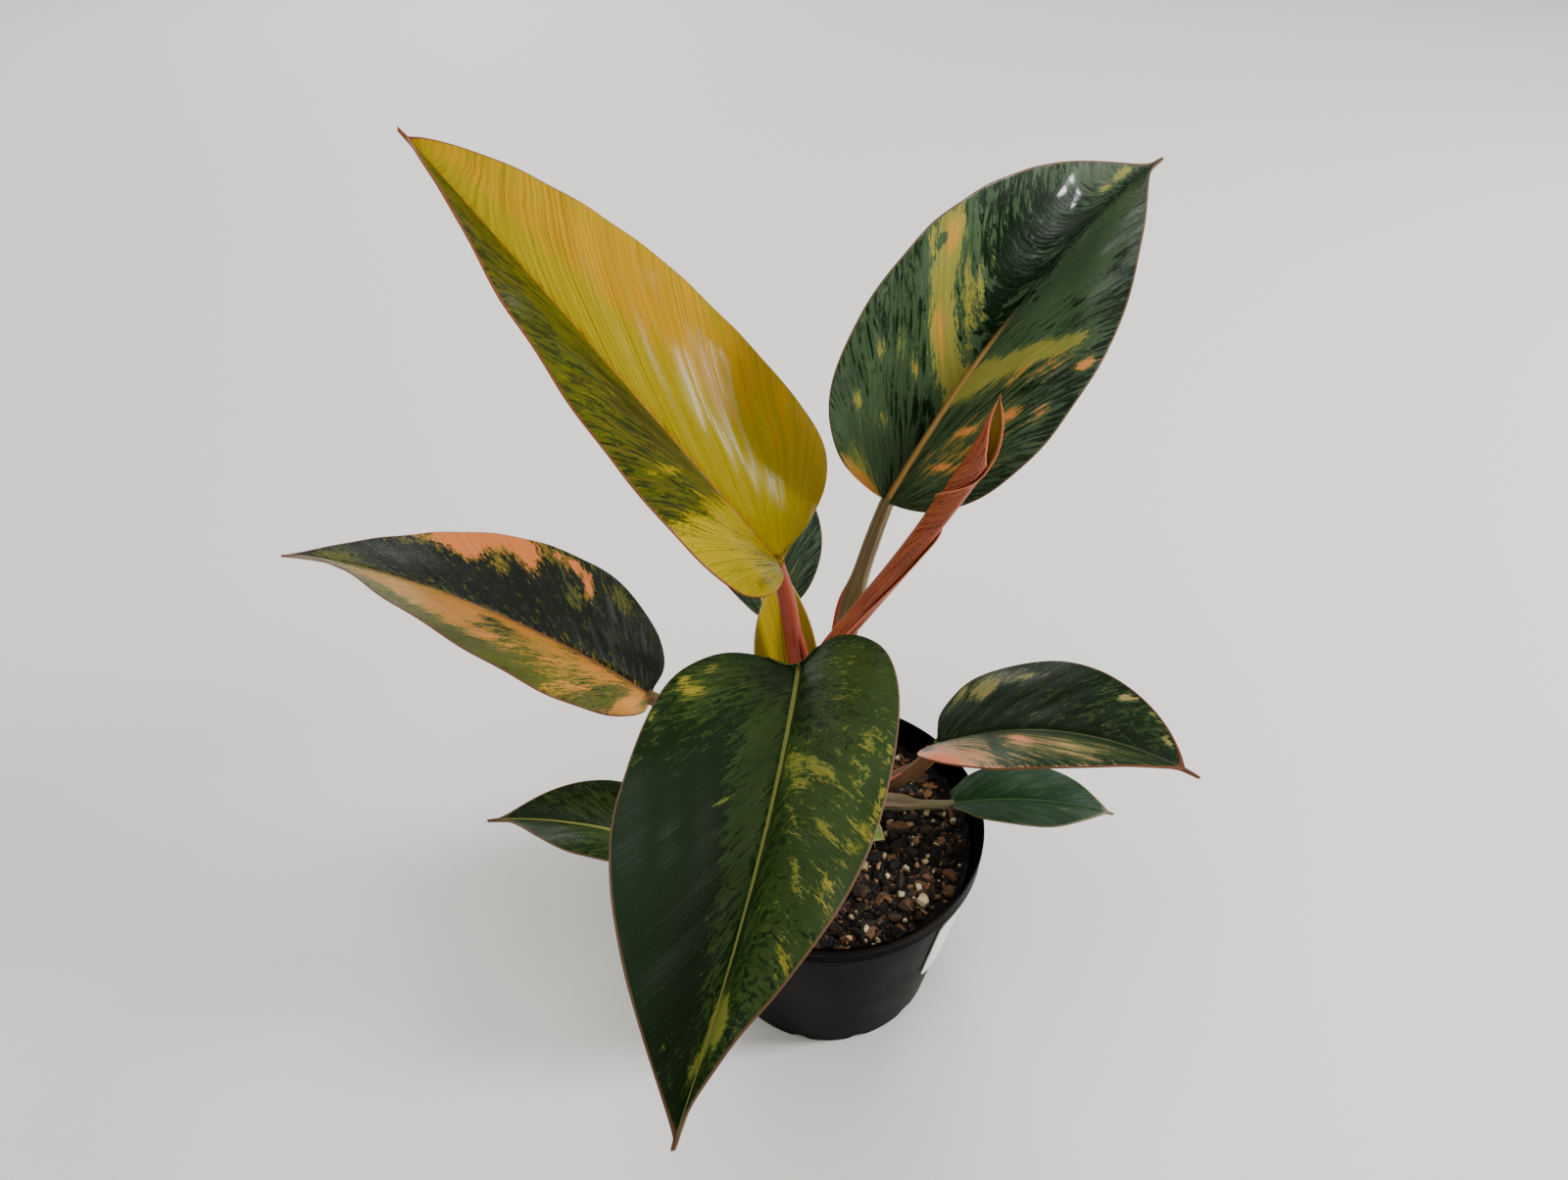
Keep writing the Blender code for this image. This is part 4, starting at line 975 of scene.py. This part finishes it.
bracts = {
    "cataphyll": dict(
        commonLeaf, attach=0.1032, azimuth=142, standOff=0.0010, heading=105.0, rise=59.0, length=0.0605,
        half=(0.0125, 0.0125), fold=(20, 20), curl=(30, 30), droop=-20, sway=-30,
        lobe=-0.04, widest=0.50, taper=0.9, full=0.8, tail=0.04, tailWidth=0.1,
        mid=0.4, pale=1.0, mottle=(0.0, 0.0), marks=[(0.2, 0, 0.3, 0.6, 0, 0.1)],
        look=dict(
            commonLook, dark=(92, 100, 22), mid=(120, 124, 28), pale=(180, 154, 12), rich=(196, 156, 32),
            warm=(206, 150, 70), line=(136, 120, 8), rib=(190, 176, 50), edge=(184, 160, 80),
            under=(176, 166, 60), veinDepth=0.6, shine=0.2, roughness=0.40, coat=0.1,
            ribWidth=0.0005, relief=0.00012, ripple=2.0,
        ),
    ),
    "sprout_leaf": dict(
        commonLeaf, attach=0.0772, azimuth=-29, standOff=0, heading=-25.0, rise=-10.0, length=0.0155,
        half=(0.0055, 0.0055), fold=(25, 25), curl=(-15, -15), droop=15, sway=0,
        lobe=-0.04, widest=0.50, taper=1.1, full=0.9, tail=0.05, tailWidth=0.1,
        mid=0.6, pale=0.3, mottle=(0.05, 0.05), marks=[],
        look=dict(
            commonLook, dark=(84, 128, 48), mid=(110, 150, 62), pale=(150, 176, 90), rich=(170, 176, 90),
            warm=(190, 160, 90), line=(70, 110, 40), rib=(140, 170, 88), edge=(150, 150, 90),
            under=(120, 150, 80), veinDepth=0.2, shine=0.3, roughness=0.36, coat=0.2, ribWidth=0.0003,
        ),
    ),
}

for name, leaf in bracts.items():
    foot, out = seat(leaf["attach"], leaf["azimuth"])
    leaf["base"] = foot + out * leaf["standOff"]
    addBlade(name + "_blade", name, leaf, sheets["bract"], leafMaterial(name, leaf["look"]), name)
print("bract and sprout ready")


# Pot: a turned wall with a rolled rim, a band, and arched drain notches round the foot

pot = dict(
    rimRadius=0.052, height=0.0783, baseRadius=0.039, bandHeight=0.008, shoulderRadius=0.0505,
    wall=0.0012, floor=0.0016, around=240, notches=12, notchRadius=0.0022, notchDepth=0.0022,
    footHeight=0.0042, notchEdge=(-1.25, -0.8), notchTop=(-0.0045, -0.0008), underFloor=0.0003,
    underReach=0.0040, sag=0.0012, sagRange=(0.03, 0.07), sagTurn=1,
)
blackPlastic = dict(
    shader={"Specular IOR Level": 0.02}, others={"Roughness": ("cloud", 0.3, 0.26)},
    noises=dict(cloud=(60, 4, 0.6, 0.5), grain=(2600, 2, 0.5), rub=((130, 130, 780), 5, 0.7, 0.2)),
    base=(5, 3, 2), raised=dict(cloud=1, grain=0.25), relief=0.00012,
    layers=[("cloud", 0.35, 0.7, 1.0, (14, 10, 7)), ("rub", 0.64, 0.76, 0.3, (70, 62, 54))],
)


def potProfile():
    # Radius and height from the middle of the inner floor, up over the rim and down to the foot.
    # The third number is the count of steps to the next corner.
    wall, height, band = pot["wall"], pot["height"], pot["height"] - pot["bandHeight"]
    rim, shoulder, base = pot["rimRadius"], pot["shoulderRadius"], pot["baseRadius"]
    corners = [
        (0, pot["floor"], 6), (base - wall - 0.0015, pot["floor"], 3),
        (base - wall, pot["floor"] + 0.0015, 26), (shoulder - wall, band, 3),
        (rim - wall - 0.0002, band + 0.0012, 8), (rim - wall, height - 0.0008, 2),
        (rim - wall + 0.0003, height - 0.0001, 2), (rim - 0.0006, height, 2),
        (rim - 0.0001, height - 0.0003, 2), (rim, height - 0.0010, 6), (rim, height - 0.0030, 2),
        (rim - 0.0003, height - 0.0035, 5), (rim - 0.0002, band + 0.0004, 2), (rim - 0.0006, band, 2),
        (shoulder + 0.0002, band - 0.0001, 2), (shoulder - 0.0001, band - 0.0008, 34),
        (base + 0.0006, pot["footHeight"], 12), (base + 0.0001, 0.0008, 3), (base - 0.0008, 0, 2),
        (base - 0.0035, 0, 3), (base - 0.0045, 0.0005, 5), (0, 0.0005, 0),
    ]
    places = np.concatenate([np.arange(count) / count + i for i, (_, _, count) in enumerate(corners[:-1])])
    places = np.append(places, len(corners) - 1)
    radius, height, _ = readOff(places, np.arange(len(corners)), np.array(corners)).T
    return radius[:, None], height[:, None]


def wallRadius(height):  # the outside of the wall, which leans outwards from the base to the band
    slope = (pot["shoulderRadius"] - pot["baseRadius"]) / (pot["height"] - pot["bandHeight"])
    return pot["baseRadius"] + slope * height


def addPot():
    # Each notch is a soft half disc, pressed into the outer foot and the underside near it
    radius, height = potProfile()
    angle, pitch = anglesRound(pot["around"]), 2 * pi / pot["notches"]
    off = (np.mod(angle, pitch) - pitch / 2) * pot["baseRadius"]
    outside = (height < pot["footHeight"]) & (radius > pot["baseRadius"])
    below = height < pot["floor"] - pot["underFloor"]
    outside = outside | below & (radius > pot["baseRadius"] - pot["underReach"])
    away = (off / pot["notchRadius"]) ** 2 + (height / pot["notchRadius"]) ** 2
    inside = smoothStep(-away, *pot["notchEdge"])
    cut = np.where(outside, inside * pot["notchDepth"], 0) * smoothStep(-height, *pot["notchTop"])
    sag = 1 + pot["sag"] * np.cos(angle * 3 + pot["sagTurn"]) * smoothStep(height, *pot["sagRange"])
    points = turned((radius - cut) * sag, angle, height)
    data = makeMesh("pot_shell", points, ringQuads(*points.shape[:2]).tolist(), sharp=50)
    addPiece("pot_shell", data, layeredMaterial("black moulded plastic", blackPlastic), ["pot"])


addPot()


# Label: a blank white sheet bent round the wall, with rounded corners

label = dict(
    bottom=0.030, top=0.066, start=-46, end=5, thickness=0.00045, corner=0.003, rows=40, columns=60,
)
whitePaper = dict(
    shader={"Roughness": 0.5, "Coat Weight": 0.15, "Coat Roughness": 0.25},
    noises=dict(fibre=(900, 3, 0.6), stain=(90, 3, 0.6)), base=(238, 237, 234),
    layers=[("stain", 0.5, 0.8, 0.5, (214, 210, 202))], raised=dict(fibre=1), relief=0.00004,
)


def addLabel():
    # The corners are rounded by drawing in the ends of each row: a quarter circle of the height
    rows, columns, corner = label["rows"], label["columns"], label["corner"]
    height = np.linspace(label["bottom"], label["top"], rows)[:, None]
    near = np.clip(corner - np.minimum(height - label["bottom"], label["top"] - height), 0, corner)
    inset = corner - np.sqrt(np.maximum(corner**2 - near**2, 0))
    wall = wallRadius(height) + gap
    middle, spread = radians(label["start"] + label["end"]) / 2, radians(label["end"] - label["start"]) / 2
    angle = middle + np.linspace(-1, 1, columns)[None, :] * (spread - inset / wall)
    outer, inner = (turned(wall + out, angle, height) for out in (label["thickness"], 0))
    loop = np.concatenate([outer, inner[:, ::-1]], axis=1)
    data = makeMesh("label_sheet", loop, sheetFaces(rows, columns, rim=0), sharp=30)
    addPiece("label_sheet", data, layeredMaterial("white label", whitePaper), ["pot_label"])


addLabel()
print("pot and label ready")


# Potting mix: a crumbly plug, bark chips, crumbs, perlite and twigs

mix = dict(
    top=0.068, holeRadius=0.0062, holeBottom=0.057, rings=90, around=220, edgeDrop=0.004, bend=0.03,
    reliefs=[(0.015, 0.0010), (0.006, 0.0008), (0.0026, 0.0005), (0.0012, 0.00025)], waves=14, seed=50,
    most=0.0022, rise=0.0006, riseWidth=0.015,
)
mixLooks = {
    "potting mix": dict(
        shader={"Roughness": 0.9}, noises=dict(lump=(420, 5, 0.7, 0.3), grit=(1700, 4, 0.7)),
        base=(14, 11, 9), raised=dict(lump=1, grit=1), relief=0.0009,
        layers=[("lump", 0.35, 0.7, 1.0, (36, 27, 21)), ("grit", 0.60, 0.72, 0.5, (84, 62, 44))],
    ),
    "bark": dict(
        shader={"Roughness": 0.8}, noises=dict(grain=((500, 500, 1500), 4, 0.65, 0.4)), power=4.8,
        base=(15, 11, 8), raised=dict(grain=1), relief=0.0006,
        layers=[
            ("pick", None, None, 1.0, (176, 124, 78)), ("tone", 0.86, 0.97, 0.7, (206, 160, 112)),
            ("grain", 0.4, 0.65, 0.5, (26, 19, 16)),
        ],
    ),
    "perlite": dict(
        shader={"Roughness": 0.85}, noises=dict(pits=(1500, 3, 0.6, 0.3)), power=1.0,
        base=(230, 212, 172), raised=dict(pits=1), relief=0.0004,
        layers=[("pick", None, None, 1.0, (208, 176, 124)), ("pits", 0.55, 0.7, 0.5, (140, 112, 78))],
    ),
}
stones = {
    # long and flat are ranges of a stone's length and height, in shares of its size, rough is how
    # dented it is, and lift a range of how far its middle is above the mix, in heights
    "bark_chips": dict(
        look="bark", count=1100, size=(0.0007, 0.0024), long=(0.9, 1.8), flat=(0.22, 0.55), rough=0.16,
        lift=(0.0, 0.7), seed=11,
    ),
    "mix_crumbs": dict(
        look="bark", count=2200, size=(0.00025, 0.0009), long=(0.9, 1.6), flat=(0.4, 0.9), rough=0.20,
        lift=(0.1, 0.8), seed=12,
    ),
    "perlite": dict(
        look="perlite", count=190, size=(0.0004, 0.0020), long=(0.8, 1.1), flat=(0.6, 0.9), rough=0.16,
        lift=(0.3, 0.9), seed=13,
    ),
}
# smaller is the power that favours small stones, width a range of widths like long and flat, wedge how
# much narrower one end may be, and tilt a spread of tilts. fromRim and fromStem are bands left free,
# ownSize is the room that a stone needs in sizes, and cube and ball are the shares of the two shapes.
stoneShape = dict(
    smaller=1.6, width=(0.55, 1.0), wedge=0.35, tilt=0.45, fromRim=0.0012, fromStem=0.0015, ownSize=1.1,
    cube=0.3, ball=0.75,
)
twigs = dict(
    count=16, length=(0.006, 0.016), radius=0.00038, out=(0.014, 0.040), bend=0.5, tilt=0.0024,
    rows=9, around=7, seed=91, point=0.02, taper=0.6, thick=(0.7, 1.5), tones=(0.3, 1),
)


def soilOuter(height):
    return wallRadius(height) - pot["wall"] - gap * 2


def soilHeight(x, y):
    # The top is level, with waves of four sizes and a slight rise towards the stem
    places = np.stack([x, y], -1)
    lift = sum(
        waves(places, mix["waves"], pitch, mix["seed"] + i) * size
        for i, (pitch, size) in enumerate(mix["reliefs"])
    )
    rise = mix["rise"] * bump(np.hypot(x, y), 0, mix["riseWidth"])
    return mix["top"] + np.clip(lift, -mix["most"], mix["most"]) + rise


def addSoil(material):
    # A turned plug from the bottom of the stem's hole, over the rough top and down to the pot's floor
    hole, pit, top, bottom = mix["holeRadius"], mix["holeBottom"], mix["top"], pot["floor"] + gap
    edge, bend = soilOuter(top), mix["bend"]
    profile = np.vstack([
        [(0, pit), (hole * 0.5, pit), (hole, pit), (hole, pit + 0.005)],
        np.column_stack([np.linspace(hole, edge, mix["rings"]), np.full(mix["rings"], top)]),
        [(edge, top - mix["edgeDrop"]), (soilOuter(bend), bend), (soilOuter(bottom), bottom), (0, bottom)],
    ])
    points = turned(profile[:, :1], anglesRound(mix["around"]), profile[:, 1:])
    rough = profile[:, 1] == top
    points[rough, :, 2] = soilHeight(points[rough, :, 0], points[rough, :, 1])
    data = makeMesh("mix_plug", points, ringQuads(*points.shape[:2]).tolist())
    addPiece("mix_plug", data, material, ["soil"])


def boxStone():
    # The 26 corners and 24 faces of a cube cut once each way, between a cube and a ball
    grid = np.stack(np.meshgrid(*[[-1.0, 0, 1]] * 3, indexing="ij"), -1).reshape(-1, 3)
    shell = np.abs(grid).max(axis=1) > 0.5
    number = np.cumsum(shell) - 1
    corners = np.array([(0, 0), (1, 0), (1, 1), (0, 1)])
    faces = [
        number[np.insert(corners + (i, k), axis, side, axis=1) @ (9, 3, 1)]
        for axis, side, i, k in product(range(3), (0, 2), range(2), range(2))
    ]
    points = grid[shell]
    return points * stoneShape["cube"] + unit(points) * stoneShape["ball"], np.array(faces)


def scatter(name, kind, material):
    # Copies of one small stone, each stretched, dented, turned and laid on the mix, all as arrays
    draw, count = np.random.default_rng(kind["seed"]), kind["count"]
    base, faces = boxStone()
    smallest, largest = kind["size"]
    size = smallest * (largest / smallest) ** (draw.uniform(0, 1, count) ** stoneShape["smaller"])
    ranges = (kind["long"], stoneShape["width"], kind["flat"])
    shape = size[:, None] * np.stack([draw.uniform(*sizes, count) for sizes in ranges], -1)
    made = base[None] * (1 + draw.normal(0, kind["rough"], (count, len(base), 3)))
    wedge = stoneShape["wedge"] * draw.uniform(0, 1, (count, 1, 1))
    made = made * (1 - wedge * base[None, :, :1] * np.array([0, 1, 1])) * shape[:, None]
    spin, tilt = draw.uniform(0, 2 * pi, count), draw.normal(0, stoneShape["tilt"], count)
    c, s, ct, st, zero = np.cos(spin), np.sin(spin), np.cos(tilt), np.sin(tilt), np.zeros(count)
    turn = np.array([[c, -s * ct, s * st], [s, c * ct, -c * st], [zero, st, ct]])
    made = np.einsum("ijn,nvj->nvi", turn, made)
    outer = soilOuter(mix["top"]) - stoneShape["fromRim"] - size * stoneShape["ownSize"]
    out = np.sqrt(draw.uniform((stem["radius"] + stoneShape["fromStem"]) ** 2, outer**2))
    around = draw.uniform(0, 2 * pi, count)
    x, y = out * np.cos(around), out * np.sin(around)
    z = soilHeight(x, y) + shape[:, 2] * draw.uniform(*kind["lift"], count)
    made = made + np.stack([x, y, z], -1)[:, None]
    quads = (faces[None] + (np.arange(count) * len(base))[:, None, None]).reshape(-1, 4).tolist()
    tone = np.repeat(draw.uniform(0, 1, (count, 3)), len(base), axis=0)
    values = np.concatenate([tone, np.ones((len(tone), 1))], axis=1)
    addPiece(name, makeMesh(name, made, quads, {"tone": values}, 1e-9, sharp=35), material)


def addTwigs(material):
    # Thin bent rods: each follows an arc and lies on the mix, with a ragged radius
    draw = np.random.default_rng(twigs["seed"])
    count, rows, around = twigs["count"], twigs["rows"], twigs["around"]
    length = draw.uniform(*twigs["length"], count)
    out, place = draw.uniform(*twigs["out"], count), draw.uniform(0, 2 * pi, count)
    way, curve = draw.uniform(0, 2 * pi, count), draw.normal(0, twigs["bend"], count)
    share = np.linspace(-0.5, 0.5, rows)
    turn = way[:, None] + curve[:, None] * share
    x = (out * np.cos(place))[:, None] + length[:, None] * share * np.cos(turn)
    y = (out * np.sin(place))[:, None] + length[:, None] * share * np.sin(turn)
    z = soilHeight(x, y).max(axis=1, keepdims=True) + draw.normal(0, twigs["tilt"], count)[:, None] * share
    centre = np.stack([x, y, z + twigs["radius"]], -1)
    side = np.stack([-np.sin(turn), np.cos(turn), 0 * turn], -1)
    taper = np.array([twigs["point"], *np.linspace(1, twigs["taper"], rows - 2), twigs["point"]])
    size = twigs["radius"] * draw.uniform(*twigs["thick"], (count, 1)) * taper
    angle = anglesRound(around)[0, :, None]
    ring = side[:, :, None] * np.cos(angle) + np.array([0, 0, 1.0]) * np.sin(angle)
    points = centre[:, :, None] + ring * size[:, :, None, None]
    start = np.arange(count)[:, None] * rows * around
    faces = (ringQuads(rows, around)[None] + start[:, None]).reshape(-1, 4).tolist()
    for row in (0, rows - 1):
        faces += (np.arange(around) + start + row * around).tolist()
    tone = np.repeat(draw.uniform(*twigs["tones"], (count, 4)), rows * around, axis=0)
    addPiece("twigs", makeMesh("twigs", points, faces, {"tone": tone}, 1e-9), material)


mixFinishes = {name: layeredMaterial(name, look) for name, look in mixLooks.items()}
addSoil(mixFinishes["potting mix"])
for name, kind in stones.items():
    scatter(name, kind, mixFinishes[kind["look"]])
addTwigs(mixFinishes["bark"])
print("potting mix ready")


# Camera, at the height and angle of the picture

camera = dict(place=(-0.0143, -0.2416, 0.3832), pitch=40.41, roll=-0.59, focal=1156, width=1600, sensor=36)


def turnedBy(right, up, back, place):  # the matrix of an object from its own three ways and its place
    return Matrix.Translation(place) @ Matrix([right, up, back]).transposed().to_4x4()


def addCamera():
    data = bpy.data.cameras.new("camera")
    data.sensor_width = camera["sensor"]
    data.lens = camera["sensor"] * camera["focal"] / camera["width"]
    data.clip_start, data.clip_end = 0.01, 20
    pitch, roll = radians(camera["pitch"]), radians(camera["roll"])
    ahead = np.array([0, cos(pitch), -sin(pitch)])
    up, right = np.array([0, sin(pitch), cos(pitch)]), np.array([1.0, 0, 0])
    rolledRight = cos(roll) * right + sin(roll) * up
    rolledUp = -sin(roll) * right + cos(roll) * up
    added = addObject("camera", data)
    added.matrix_world = turnedBy(rolledRight, rolledUp, -ahead, camera["place"])
    bpy.context.scene.camera = added


addCamera()


# Floor and studio light

studio = dict(
    floorSize=6.0, floorColor=(252, 250, 246), floorRoughness=0.6, world=(250, 247, 242), worldStrength=0.47,
    aim=(0, 0, 0.14),
)
lights = [
    # name, azimuth, elevation, distance, width, height, power: a tall light on the right with a small
    # one low beside it, a broad one with a brighter pane in it and a lamp behind, and a soft ceiling
    ("window", -2, 27, 1.7, 0.40, 0.80, 27.0),
    ("sliver", 6, 10, 1.7, 0.09, 0.14, 2.6),
    ("wall", 112, 30, 2.4, 2.4, 1.2, 8.0),
    ("pane", 107, 17, 2.0, 0.50, 0.28, 5.0),
    ("lamp", 52, 41, 2.0, 0.5, 0.5, 3.5),
    ("ceiling", 200, 80, 2.4, 2.0, 2.0, 27.0),
]


def addFloor():
    size = studio["floorSize"]
    data = bpy.data.meshes.new("floor")
    corners = [(-size, -size, 0), (size, -size, 0), (size, size, 0), (-size, size, 0)]
    data.from_pydata(corners, [], [(0, 1, 2, 3)])
    finish = {"Roughness": studio["floorRoughness"], "Base Color": srgb(*studio["floorColor"])}
    data.materials.append(newMaterial("pale floor", finish)[0])
    addObject("floor", data)


def addLight(name, azimuth, elevation, distance, width, height, power):
    data = bpy.data.lights.new(name, "AREA")
    data.shape = "ELLIPSE"
    data.size, data.size_y = width, height
    data.energy = power
    azimuth, elevation = radians(azimuth), radians(elevation)
    back = np.array([cos(azimuth) * cos(elevation), sin(azimuth) * cos(elevation), sin(elevation)])
    side = unit(np.cross((0, 0, 1), back))
    place = np.array(studio["aim"]) + back * distance
    addObject(name, data).matrix_world = turnedBy(side, np.cross(back, side), back, place.tolist())


def addWorld():
    world = bpy.data.worlds.new("studio")
    world.use_nodes = True
    background = world.node_tree.nodes["Background"]
    background.inputs[0].default_value = srgb(*studio["world"])
    background.inputs[1].default_value = studio["worldStrength"]
    bpy.context.scene.world = world


addWorld()
addFloor()
for light in lights:
    addLight(*light)
print("studio ready")
